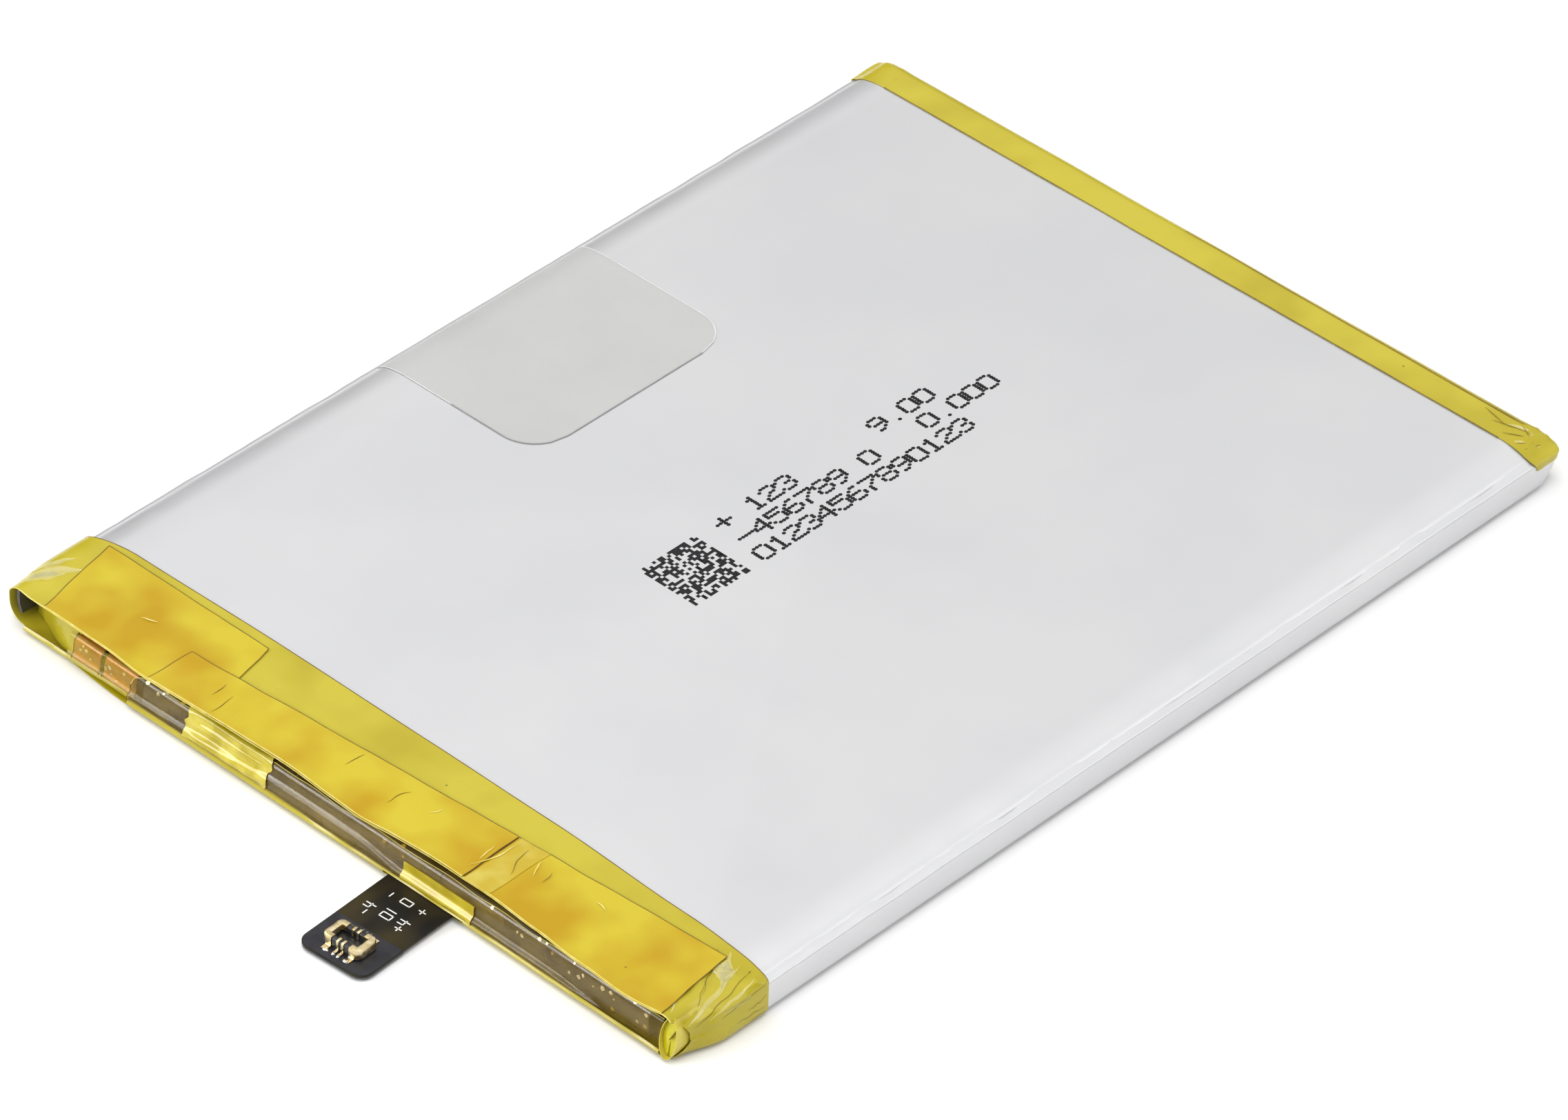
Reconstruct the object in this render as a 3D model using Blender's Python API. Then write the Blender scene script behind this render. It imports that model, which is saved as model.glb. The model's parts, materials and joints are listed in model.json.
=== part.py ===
"""Pouch battery pack: a flat wound lithium-polymer cell in a laminate pouch, with its protection
board wrapped in polyimide tape at one end and a short flexible tail that carries the connector.

Lengths are in millimetres until the mesh is written, which is in metres. The origin is the centre
of the flat back face. +Y runs along the pack away from the tail, +Z through it to the printed face.
"""

import math

import bmesh
import bpy
from mathutils import Matrix

MM = 0.001

# Driving dimensions.
PACK_WIDTH = 60.0
PACK_LENGTH = 81.6
THICKNESS = 3.1  # back face to printed face of the bare cell
LAMINATE = 0.15
TAPE = 0.08
FILM = 0.05  # clear label
FIT_GAP = 0.03  # between a tape and what it is stuck to
BOARD_ZONE = 4.6  # length of the end that holds the terrace and the protection board

# The drawn cup, the folded side seals and the terrace.
SIDE_FLAP = 0.28
FLAP_HEIGHT = 2.3
EDGE_RADIUS = 0.9
CUP_CORNER = 2.0
LID_SHEET = 0.12
RIM_HEIGHT = 0.30  # underside of the cup's rim and terrace flange
TERRACE_LENGTH = 2.7

HALF_WIDTH = PACK_WIDTH / 2
NEAR_Y = -PACK_LENGTH / 2
FAR_Y = PACK_LENGTH / 2
CUP_HALF = HALF_WIDTH - SIDE_FLAP - 0.1
CUP_NEAR_Y = NEAR_Y + BOARD_ZONE
CUP_FAR_Y = FAR_Y - TAPE - 0.5
TERRACE_Y = CUP_NEAR_Y - TERRACE_LENGTH

# The winding, drawn with few thick turns in place of many thin ones.
HALF_TURNS = 6
PITCH = 0.30
CORE_RADIUS = 0.07
LAST_RUN = 40.0  # how far the outermost turn goes on after its last bend
ROLL_HALF_WIDTH = 28.9
ROLL_MIDDLE_Z = 1.63
SHEETS = (
    # name, thickness, distance out from the first sheet, how far its ends stand back, colour
    ("separator_inner", 0.030, 0.000, 0.0, (0.92, 0.92, 0.90)),
    ("anode_sheet", 0.090, 0.075, 0.4, (0.62, 0.35, 0.22)),
    ("separator_outer", 0.030, 0.150, 0.0, (0.92, 0.92, 0.90)),
    ("cathode_sheet", 0.090, 0.225, 0.8, (0.16, 0.16, 0.17)),
)

# The two tabs, which leave between the terrace's sheets and fold back over the board.
TAB = 0.1
TAB_WIDTH = 3.2
TAB_Z = 0.21
TAB_PLACES = {"positive_tab": -23.8, "negative_tab": -19.6}

# The protection board, which lies on the terrace.
BOARD_BOTTOM = 0.60
BOARD_THICKNESS = 0.40
BOARD_HALF_LENGTH = 26.8
BOARD_NEAR_Y = TERRACE_Y + 0.12
BOARD_FAR_Y = CUP_NEAR_Y - 0.35
BOARD_TOP = BOARD_BOTTOM + BOARD_THICKNESS
BOARD_MIDDLE_Y = (BOARD_NEAR_Y + BOARD_FAR_Y) / 2
COMPONENTS = (
    # name, place along the board, length, width, height, colour
    ("protection_chip", -8.6, 2.0, 1.6, 0.60, (0.03, 0.03, 0.035)),
    ("mosfet_first", -4.6, 2.6, 1.9, 0.75, (0.03, 0.03, 0.035)),
    ("mosfet_second", -1.2, 2.6, 1.9, 0.75, (0.03, 0.03, 0.035)),
    ("thermistor", 14.2, 1.0, 0.5, 0.50, (0.10, 0.09, 0.08)),
    ("resistor_sense", 16.4, 1.6, 0.8, 0.45, (0.05, 0.05, 0.06)),
    ("resistor_supply", 18.6, 1.0, 0.5, 0.35, (0.05, 0.05, 0.06)),
    ("resistor_gate", 20.3, 1.0, 0.5, 0.35, (0.05, 0.05, 0.06)),
    ("capacitor_supply", 22.2, 1.0, 0.5, 0.50, (0.55, 0.42, 0.27)),
    ("capacitor_output", 24.0, 1.0, 0.5, 0.50, (0.55, 0.42, 0.27)),
    ("thermal_fuse", -13.4, 3.6, 1.8, 0.80, (0.62, 0.60, 0.55)),
)

# The flexible circuit's fold along the front, and the tail that leaves under it.
FOLD_Y = NEAR_Y + 1.5
FOLD_Z = 1.42
FOLD_RADIUS = 1.02
FLEX = 0.12
TAIL_WIDTH = 5.5
TAIL_X = 7.8
TAIL_Z = 0.22
TAIL_YAW = math.radians(3)
ROOT_HINGE_Y = NEAR_Y - 0.35
NECK_LENGTH = 3.7  # between the two lines where the tail bends
END_LENGTH = 3.85
BEND_GAP = 0.15  # each side of a bending line
TAIL_CORNER = 0.9
STIFFENER = 0.12
EXIT_CLEAR = 0.35  # each side of the tail where it passes the tapes
BAND_LOW_X, BAND_HIGH_X = 4.9, 12.0  # the short tape over the tail's exit
BAND_CLEAR = 0.2

# The board-to-board plug on the tail.
PLUG_LENGTH = 2.9
PLUG_WIDTH = 1.75
PLUG_HEIGHT = 0.72
PLUG_WALL = 0.36
PLUG_FLOOR = 0.18
PLUG_FROM_HINGE = 1.95
CONTACT = 0.12

# Tapes.
SLEEVE_FAR_Y = -32.5
SLEEVE_FRONT_Y = NEAR_Y + 0.6
SLEEVE_FRONT_TOP = 2.72
SLEEVE_TAPER = 0.5  # how much narrower the sleeve is at its front, each side
LIP_TOP = 0.85  # how far the lower tape is turned up along the front
AMBER = 0.06
FAR_TAPE_Y = 37.6

# Clear label, wrapped round the left edge.
LABEL_RIGHT_X = -15.3
LABEL_NEAR_Y = -7.3
LABEL_FAR_Y = 11.1
LABEL_CORNER = 3.0

# Lines just clear of the tapes and the label, between which the two big faces are bare.
BARE_NEAR_Y = SLEEVE_FAR_Y + 0.1
BARE_FAR_Y = FAR_TAPE_Y - 0.1
BARE_LEFT_X = LABEL_RIGHT_X + 0.1
EASE = 0.02  # how far the faces give under tape and label


def clear_scene():
    for found in list(bpy.data.objects):
        bpy.data.objects.remove(found, do_unlink=True)


def material(name, colour, roughness=0.5, metallic=0.0, alpha=1.0):
    made = bpy.data.materials.new(name)
    made.use_nodes = True
    shader = made.node_tree.nodes["Principled BSDF"]
    shader.inputs["Base Color"].default_value = (*colour, 1.0)
    shader.inputs["Roughness"].default_value = roughness
    shader.inputs["Metallic"].default_value = metallic
    shader.inputs["Alpha"].default_value = alpha
    made.diffuse_color = (*colour, alpha)
    return made


def finish(name, mesh, finish_material, parent=None):
    """A bmesh in millimetres made into a named object in metres."""
    bmesh.ops.recalc_face_normals(mesh, faces=mesh.faces)
    bmesh.ops.transform(mesh, matrix=Matrix.Scale(MM, 4), verts=mesh.verts)
    data = bpy.data.meshes.new(name)
    mesh.to_mesh(data)
    mesh.free()
    made = bpy.data.objects.new(name, data)
    bpy.context.scene.collection.objects.link(made)
    made.parent = parent
    if finish_material:
        data.materials.append(finish_material)
    return made


def loft(rings, cyclic=False):
    """A bmesh through rings of equal length, capped at both ends or joined end to end."""
    mesh = bmesh.new()
    loops = [[mesh.verts.new(point) for point in ring] for ring in rings]
    count = len(loops[0])
    pairs = list(zip(loops, loops[1:]))
    if cyclic:
        pairs.append((loops[-1], loops[0]))
    for first, second in pairs:
        for i in range(count):
            j = (i + 1) % count
            mesh.faces.new((first[i], first[j], second[j], second[i]))
    if not cyclic:
        mesh.faces.new(loops[0])
        mesh.faces.new(loops[-1])
    return mesh


def prism_x(outline, x_low, x_high):
    """An outline of (y, z) points, drawn out along X."""
    return loft([[(x, y, z) for y, z in outline] for x in (x_low, x_high)])


def prism_y(outline, y_low, y_high):
    """An outline of (x, z) points, drawn out along Y."""
    return loft([[(x, y, z) for x, z in outline] for y in (y_low, y_high)])


def prism_z(outline, z_low, z_high):
    """An outline of (x, y) points, drawn out along Z."""
    return loft([[(x, y, z) for x, y in outline] for z in (z_low, z_high)])


def block(x_low, x_high, y_low, y_high, z_low, z_high):
    return prism_z(((x_low, y_low), (x_high, y_low), (x_high, y_high), (x_low, y_high)), z_low, z_high)


def arc(centre, radius, start, end, steps):
    """Points on a circle from one angle to another, in degrees, both ends included."""
    angles = [math.radians(start + (end - start) * i / steps) for i in range(steps + 1)]
    return [(centre[0] + radius * math.cos(a), centre[1] + radius * math.sin(a)) for a in angles]


def rounded_rectangle(low, high, radii, steps=4):
    """An outline run anticlockwise from the lower right corner. Radii are given in that order."""
    corners = (
        (high[0], low[1], -1, 1, -90),
        (high[0], high[1], -1, -1, 0),
        (low[0], high[1], 1, -1, 90),
        (low[0], low[1], 1, 1, 180),
    )
    points = []
    for (x, y, to_x, to_y, start), radius in zip(corners, radii):
        centre = (x + to_x * radius, y + to_y * radius)
        points += arc(centre, radius, start, start + 90, steps)
    return points


def ribbon(path, thickness):
    """The outline of a strip of even thickness along an open path."""
    sides = ([], [])
    for i, point in enumerate(path):
        before = path[max(i - 1, 0)]
        after = path[min(i + 1, len(path) - 1)]
        first = unit(before, point) if i else unit(point, after)
        second = unit(point, after) if i < len(path) - 1 else first
        normal = (-(first[1] + second[1]), first[0] + second[0])
        share = math.hypot(*normal) ** 2 / 2
        for side, half in zip(sides, (thickness / 2, -thickness / 2)):
            side.append((point[0] + normal[0] * half / share, point[1] + normal[1] * half / share))
    return sides[0] + sides[1][::-1]


def unit(start, end):
    length = math.hypot(end[0] - start[0], end[1] - start[1])
    return ((end[0] - start[0]) / length, (end[1] - start[1]) / length)


def combine(target, mesh, operation):
    """The target joined to, or cut by, a second shape, which stays in the file as a hidden helper."""
    helper = finish(f"{target.name}_{operation.lower()}", mesh, None, target.parent)
    helper.hide_render = True
    helper.display_type = "WIRE"
    modifier = target.modifiers.new(operation.title(), "BOOLEAN")
    modifier.operation = operation
    modifier.solver = "EXACT"
    modifier.object = helper


def ease_in(target, face_z, eased_z, bare_low_x):
    """A flat face eased in under the tapes and the label, so the bare part between them is one face."""
    graph = bpy.context.evaluated_depsgraph_get()
    joined = bpy.data.meshes.new_from_object(target.evaluated_get(graph))
    target.modifiers.clear()
    mesh = bmesh.new()
    mesh.from_mesh(joined)
    cuts = (
        ((0, BARE_NEAR_Y * MM, 0), (0, 1, 0)),
        ((0, BARE_FAR_Y * MM, 0), (0, 1, 0)),
        ((bare_low_x * MM, 0, 0), (1, 0, 0)),
    )
    for place, normal in cuts:
        everything = mesh.verts[:] + mesh.edges[:] + mesh.faces[:]
        bmesh.ops.bisect_plane(mesh, geom=everything, plane_co=place, plane_no=normal)
    near = 0.001
    for vert in mesh.verts:
        x, y, z = vert.co / MM
        covered = y < BARE_NEAR_Y - near or y > BARE_FAR_Y + near or x < bare_low_x - near
        if covered and abs(z - face_z) < near:
            vert.co.z = eased_z * MM
    mesh.to_mesh(target.data)
    mesh.free()


def smooth(target, angle=35.0):
    target.data.shade_smooth()
    target.data.set_sharp_from_angle(angle=math.radians(angle))


# ---------------------------------------------------------------- pouch and winding


def cup_ring(inset, z):
    radius = max(CUP_CORNER - inset, 0.4)
    low = (-CUP_HALF + inset, CUP_NEAR_Y + inset)
    high = (CUP_HALF - inset, CUP_FAR_Y - inset)
    return [(x, y, z) for x, y in rounded_rectangle(low, high, (radius,) * 4)]


def cup_wall(inset, steps=4):
    """Rings of the cup's wall from its rim up over the rounded edge to the flat top."""
    top = THICKNESS - inset
    radius = EDGE_RADIUS - inset
    rings = [cup_ring(inset, RIM_HEIGHT)]
    for i in range(steps + 1):
        turn = math.radians(90 * i / steps)
        rings.append(cup_ring(inset + radius * (1 - math.cos(turn)), top - radius * (1 - math.sin(turn))))
    return rings


def make_pouch_cup(laminate):
    """The drawn upper half of the pouch, open below, with its flange over the terrace."""
    shell = loft(cup_wall(LAMINATE)[::-1] + cup_wall(0.0))
    cup = finish("pouch_cup", shell, laminate)
    flange_half = CUP_HALF - CUP_CORNER
    flange_top = RIM_HEIGHT + LID_SHEET
    inside_wall = CUP_NEAR_Y + LAMINATE / 2
    flange = block(-flange_half, flange_half, TERRACE_Y, inside_wall, RIM_HEIGHT, flange_top)
    combine(cup, flange, "UNION")
    ease_in(cup, THICKNESS, THICKNESS - EASE, BARE_LEFT_X)
    smooth(cup)


def make_pouch_lid(laminate):
    """The flat back sheet, with both side seals folded up against the cup's walls."""
    bend = 0.5
    outer = [(-HALF_WIDTH, FLAP_HEIGHT)]
    outer += arc((-HALF_WIDTH + bend, bend), bend, 180, 270, 4)
    outer += arc((HALF_WIDTH - bend, bend), bend, 270, 360, 4)
    outer += [(HALF_WIDTH, FLAP_HEIGHT)]
    inside = HALF_WIDTH - SIDE_FLAP
    inner = [(inside, FLAP_HEIGHT), (inside, 0.25), (inside - 0.13, LID_SHEET)]
    inner += [(-x, z) for x, z in inner[::-1]]
    lid = finish("pouch_lid", prism_y(outer + inner, CUP_NEAR_Y, CUP_FAR_Y), laminate)
    flange_half = CUP_HALF - CUP_CORNER
    combine(lid, block(-flange_half, flange_half, TERRACE_Y, CUP_NEAR_Y + 1.0, 0.0, LID_SHEET), "UNION")
    ease_in(lid, 0.0, EASE, -HALF_WIDTH - 1)
    smooth(lid)


def winding_path(distance):
    """A flattened spiral of (x, z) points: half turns round both ends, joined by straight runs."""
    centre_x = ROLL_HALF_WIDTH - (CORE_RADIUS + SHEETS[-1][2] + PITCH * HALF_TURNS / 2)
    steps = 6
    path = []
    for half_turn in range(HALF_TURNS):
        side = -1 if half_turn % 2 else 1
        for i in range(steps + 1):
            share = i / steps
            radius = CORE_RADIUS + distance + PITCH * (half_turn + share) / 2
            angle = math.radians(180 * (share + half_turn) - 90)
            across = side * centre_x + radius * math.cos(angle)
            path.append((across, ROLL_MIDDLE_Z + radius * math.sin(angle)))
    path.append((path[-1][0] + LAST_RUN, path[-1][1]))
    return path


def make_winding():
    low = CUP_NEAR_Y + LAMINATE + 0.45
    high = CUP_FAR_Y - LAMINATE - 0.45
    for name, thickness, distance, stand_back, colour in SHEETS:
        outline = ribbon(winding_path(distance), thickness)
        finish(name, prism_y(outline, low + stand_back, high - stand_back), material(name, colour, 0.7))


def make_tabs(aluminium, nickel, film, pad):
    """Each tab with the sealing film round it at the terrace and its weld pad on the board."""
    front = BOARD_NEAR_Y - 0.4
    back_over = BOARD_TOP + 0.24
    bend = 0.12
    path = [(CUP_NEAR_Y + 4.5, TAB_Z)]
    path += arc((front + bend, TAB_Z + bend), bend, 270, 180, 4)
    path += arc((front + bend, back_over - bend), bend, 180, 90, 4)
    path += [(BOARD_MIDDLE_Y + 0.7, back_over)]
    half = TAB_WIDTH / 2
    for name, x in TAB_PLACES.items():
        metal = aluminium if name == "positive_tab" else nickel
        smooth(finish(name, prism_x(ribbon(path, TAB), x - half, x + half), metal))
        sleeve_low, sleeve_high = TERRACE_Y - 0.15, CUP_NEAR_Y + 0.8
        film_low, film_high = LID_SHEET + 0.01, RIM_HEIGHT - 0.01
        sealing = block(x - half - 0.4, x + half + 0.4, sleeve_low, sleeve_high, film_low, film_high)
        seal = finish(f"{name}_film", sealing, film)
        room, beside = TAB / 2 + 0.01, half + 0.02
        slot = block(x - beside, x + beside, sleeve_low - 1, sleeve_high + 1, TAB_Z - room, TAB_Z + room)
        combine(seal, slot, "DIFFERENCE")
        pad_z = BOARD_TOP + 0.03
        pad_low, pad_high = BOARD_MIDDLE_Y - 0.8, BOARD_MIDDLE_Y + 0.8
        pad_shape = block(x - half, x + half, pad_low, pad_high, pad_z, pad_z + 0.12)
        finish(f"{name}_weld_pad", pad_shape, pad)


# ---------------------------------------------------------------- protection board


def make_board(solder_mask, insulation, foam):
    outline = rounded_rectangle(
        (-BOARD_HALF_LENGTH, BOARD_NEAR_Y), (BOARD_HALF_LENGTH, BOARD_FAR_Y), (0.4,) * 4, 2
    )
    finish("protection_board", prism_z(outline, BOARD_BOTTOM, BOARD_TOP), solder_mask)
    half = BOARD_HALF_LENGTH
    film_low, film_high = RIM_HEIGHT + LID_SHEET + 0.03, BOARD_BOTTOM - 0.03
    film = block(-half, half, TERRACE_Y + 0.1, BOARD_FAR_Y, film_low, film_high)
    finish("board_insulation", film, insulation)
    for side, x_low, x_high in (("left", -29.0, -27.3), ("right", 27.3, 29.0)):
        pad = block(x_low, x_high, BOARD_NEAR_Y - 0.3, BOARD_FAR_Y, 0.5, 2.3)
        finish(f"foam_pad_{side}", pad, foam)


def make_components():
    for name, x, length, width, height, colour in COMPONENTS:
        bottom = BOARD_TOP + 0.03
        shape = block(
            x - length / 2, x + length / 2,
            BOARD_MIDDLE_Y - width / 2, BOARD_MIDDLE_Y + width / 2,
            bottom, bottom + height,
        )
        part = finish(name, shape, material(name, colour, 0.45))
        edge = part.modifiers.new("Edge", "BEVEL")
        edge.width = 0.04 * MM
        edge.segments = 1


def fold_path(radius, last_angle):
    """The (y, z) line from the top leaf, round the front, down to an angle on the circle."""
    return [(FOLD_Y + 1.9, FOLD_Z + radius)] + arc((FOLD_Y, FOLD_Z), radius, 90, last_angle, 10)


def make_flex_fold(flex):
    """The circuit's fold along the front. It is in two lengths, one each side of the tail."""
    outline = ribbon(fold_path(FOLD_RADIUS - FLEX / 2, 270), FLEX)
    left_end, right_end = BAND_LOW_X - BAND_CLEAR, BAND_HIGH_X + BAND_CLEAR
    for side, x_low, x_high in (("left", -16.9, left_end), ("right", right_end, 26.8)):
        smooth(finish(f"flex_fold_{side}", prism_x(outline, x_low, x_high), flex))


def make_flex_root(flex):
    """The tail's own end inside the pack, from the board's front edge down and out."""
    bend = 0.2
    path = [(BOARD_NEAR_Y - 0.05, BOARD_BOTTOM + 0.2)]
    path += arc((BOARD_NEAR_Y - 0.25, BOARD_BOTTOM), bend, 90, 180, 3)
    path += arc((BOARD_NEAR_Y - 0.25 - 2 * bend, TAIL_Z + bend), bend, 0, -90, 3)
    path += [(ROOT_HINGE_Y + BEND_GAP, TAIL_Z)]
    half = TAIL_WIDTH / 2
    smooth(finish("flex_root", prism_x(ribbon(path, FLEX), TAIL_X - half, TAIL_X + half), flex))


# ---------------------------------------------------------------- tail


def empty(name, place, yaw, parent=None):
    made = bpy.data.objects.new(name, None)
    made.location = [value * MM for value in place]
    made.rotation_euler = (0, 0, yaw)
    made.empty_display_size = 2 * MM
    made.parent = parent
    bpy.context.scene.collection.objects.link(made)
    return made


def make_tail(flex, stiffener, housing, gold):
    """The neck turns about the line at the pack, and the stiffened end about the neck's far line."""
    root_line = empty("tail_root_line", (TAIL_X, ROOT_HINGE_Y, TAIL_Z), TAIL_YAW)
    end_line = empty("tail_end_line", (0, -NECK_LENGTH, 0), 0, root_line)
    half = TAIL_WIDTH / 2
    neck = block(-half, half, -NECK_LENGTH + BEND_GAP, -BEND_GAP, -FLEX / 2, FLEX / 2)
    finish("flex_neck", neck, flex, root_line)
    radii = (TAIL_CORNER, 0.05, 0.05, TAIL_CORNER)
    outline = rounded_rectangle((-half, -END_LENGTH), (half, -BEND_GAP), radii)
    finish("flex_end", prism_z(outline, -FLEX / 2, FLEX / 2), flex, end_line)
    top = -FLEX / 2 - 0.01
    finish("flex_stiffener", prism_z(outline, top - STIFFENER, top), stiffener, end_line)
    make_plug(housing, gold, end_line)


def make_plug(housing, gold, parent):
    """A plug shaped as a trough: an open box, capped at each end by a power contact."""
    middle = -PLUG_FROM_HINGE
    bottom = FLEX / 2 + 0.02
    top = bottom + PLUG_HEIGHT
    half_length, half_width = PLUG_LENGTH / 2, PLUG_WIDTH / 2
    corners = (0.25,) * 4
    low, high = (-half_length, middle - half_width), (half_length, middle + half_width)
    outline = rounded_rectangle(low, high, corners, 2)
    body = finish("plug_housing", prism_z(outline, bottom, top), housing, parent)
    in_length, in_width = half_length - PLUG_WALL, half_width - PLUG_WALL
    floor = bottom + PLUG_FLOOR
    trough = block(-in_length, in_length, middle - in_width, middle + in_width, floor, top + 1)
    combine(body, trough, "DIFFERENCE")
    for side, sign in (("left", -1), ("right", 1)):
        make_power_contact(f"power_contact_{side}", sign, middle, bottom, top, gold, parent)
    for side, sign in (("front", -1), ("rear", 1)):
        make_signal_contact(f"signal_contact_{side}", sign, middle, bottom, top, gold, parent)


def make_power_contact(name, sign, middle, bottom, top, gold, parent):
    """A strip bent round the housing's short end, with a solder foot on each long side."""
    outside = PLUG_LENGTH / 2 + 0.02 + CONTACT / 2
    beside = PLUG_WIDTH / 2 + 0.02 + CONTACT / 2
    start = PLUG_LENGTH / 2 - 0.75
    path = [(sign * start, middle - beside), (sign * (outside - 0.2), middle - beside)]
    path += [(sign * outside, middle - beside + 0.2), (sign * outside, middle + beside - 0.2)]
    path += [(sign * (outside - 0.2), middle + beside), (sign * start, middle + beside)]
    strip = finish(name, prism_z(ribbon(path, CONTACT), bottom, top + 0.04), gold, parent)
    foot_low, foot_high = sorted((sign * start, sign * (start + 0.45)))
    reach = beside + 0.5
    foot = block(foot_low, foot_high, middle - reach, middle - beside, bottom, bottom + 0.1)
    combine(strip, foot, "UNION")
    foot = block(foot_low, foot_high, middle + beside, middle + reach, bottom, bottom + 0.1)
    combine(strip, foot, "UNION")


def make_signal_contact(name, sign, middle, bottom, top, gold, parent):
    """A narrow strip up the middle of a long side, over its rim and down into the trough."""
    outside = middle + sign * (PLUG_WIDTH / 2 + 0.02 + CONTACT / 2)
    inside = middle + sign * (PLUG_WIDTH / 2 - PLUG_WALL - 0.02 - CONTACT / 2)
    over = top + 0.02 + CONTACT / 2
    foot_z = bottom + CONTACT / 2
    path = [(outside + sign * 0.5, foot_z), (outside, foot_z), (outside, over), (inside, over)]
    path += [(inside, bottom + PLUG_FLOOR + 0.1)]
    finish(name, prism_x(ribbon(path, CONTACT), -0.16, 0.16), gold, parent)


# ---------------------------------------------------------------- tapes and label


def sleeve_ring(y, outset):
    """The sleeve's cross-section: square-shouldered round the cell, lower and rounder in front of it."""
    shoulder = CUP_NEAR_Y - 0.1
    share = max(0.0, (shoulder - y) / (shoulder - SLEEVE_FRONT_Y))
    side = HALF_WIDTH + FIT_GAP - SLEEVE_TAPER * share + outset
    cell_top = THICKNESS + FIT_GAP
    top = cell_top + (SLEEVE_FRONT_TOP - cell_top) * share + outset
    low = -FIT_GAP - outset
    upper = 0.95 + 0.3 * share + outset
    lower = 0.45 + 0.7 * share + outset
    outline = rounded_rectangle((-side, low), (side, top), (lower, upper, upper, lower), 5)
    return [(x, y, z) for x, z in outline]


def make_sleeve(tape):
    """The wide tape wound once round the pack, open towards the front."""
    halfway = (CUP_NEAR_Y + SLEEVE_FRONT_Y) / 2
    stations = (SLEEVE_FAR_Y, CUP_NEAR_Y - 0.1, halfway, SLEEVE_FRONT_Y)
    outer = [sleeve_ring(y, TAPE) for y in stations]
    inner = [sleeve_ring(y, 0.0) for y in stations[::-1]]
    smooth(finish("near_end_sleeve", loft(outer + inner, cyclic=True), tape))


def make_amber_strips(amber):
    """Three shorter tapes laid side by side over the sleeve's top, down its slope to the front."""
    lift = FIT_GAP + TAPE + 0.03 + AMBER / 2
    shoulder = (CUP_NEAR_Y - 0.1, THICKNESS + lift)
    front = (SLEEVE_FRONT_Y + 0.1, SLEEVE_FRONT_TOP + TAPE + 0.04 + AMBER / 2)
    strips = (("left", -26.8, -12.2, -33.1), ("middle", -12.0, 10.4, -35.9), ("right", 10.6, 27.4, -34.5))
    for side, x_low, x_high, far_y in strips:
        outline = ribbon([(far_y, THICKNESS + lift), shoulder, front], AMBER)
        finish(f"amber_strip_{side}", prism_x(outline, x_low, x_high), amber)


def make_front_tapes(tape, gold_tape):
    """The lower tape turned up along the front, and the short band over the tail's exit."""
    bend = 0.5
    sheet = TAPE / 2
    low = 0.03 + sheet
    front = NEAR_Y + sheet
    path = [(TERRACE_Y - 0.1, low)]
    path += arc((front + bend, low + bend), bend, 270, 180, 5)
    path += [(front + 0.05, LIP_TOP)]
    lip = finish("front_lip_tape", prism_x(ribbon(path, TAPE), -28.2, 28.2), tape)
    clear = TAIL_WIDTH / 2 + EXIT_CLEAR
    gap = block(TAIL_X - clear, TAIL_X + clear, NEAR_Y - 1, TERRACE_Y - 0.6, -1, 2)
    combine(lip, gap, "DIFFERENCE")
    smooth(lip)
    radius = FOLD_RADIUS - 0.04
    band = ribbon(fold_path(radius, 238), TAPE)
    smooth(finish("tail_exit_tape", prism_x(band, BAND_LOW_X, BAND_HIGH_X), gold_tape))


def far_cap_ring(y, inset, outset):
    """The far tape's cross-section, drawn in towards the closed end by an inset."""
    side = HALF_WIDTH + FIT_GAP + outset - inset
    low, high = -FIT_GAP - outset + inset, THICKNESS + FIT_GAP + outset - inset
    upper, lower = max(0.95 + outset - inset, 0.2), max(0.45 + outset - inset, 0.2)
    outline = rounded_rectangle((-side, low), (side, high), (lower, upper, upper, lower), 4)
    return [(x, y, z) for x, z in outline]


def make_far_tape(tape):
    """The tape over the far end, a shallow cap with a rounded front."""
    bend = 0.45

    def wall(outset):
        end = FAR_Y - TAPE + outset
        rings = [far_cap_ring(FAR_TAPE_Y, 0.0, outset)]
        for i in range(4):
            turn = math.radians(90 * i / 3)
            y = end - bend * (1 - math.sin(turn))
            rings.append(far_cap_ring(y, bend * (1 - math.cos(turn)), outset))
        return rings

    smooth(finish("far_end_tape", loft(wall(0.0)[::-1] + wall(TAPE)), tape))


def make_label(film):
    """The clear label on the printed face, over the left edge and a little way down the side."""
    lift = FIT_GAP + FILM / 2
    top = THICKNESS + lift
    centre = (-CUP_HALF + EDGE_RADIUS, THICKNESS - EDGE_RADIUS)
    path = [(LABEL_RIGHT_X, top)] + arc(centre, EDGE_RADIUS + lift, 90, 180, 6)
    sheet = prism_y(ribbon(path, FILM), LABEL_NEAR_Y, LABEL_FAR_Y)
    corners = [
        edge for edge in sheet.edges
        if all(vert.co.x > LABEL_RIGHT_X - 0.01 for vert in edge.verts)
        and abs(edge.verts[0].co.y - edge.verts[1].co.y) < 0.01
    ]
    bmesh.ops.bevel(sheet, geom=corners, offset=LABEL_CORNER, segments=5, profile=0.5, affect="EDGES")
    smooth(finish("clear_label", sheet, film))


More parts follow.
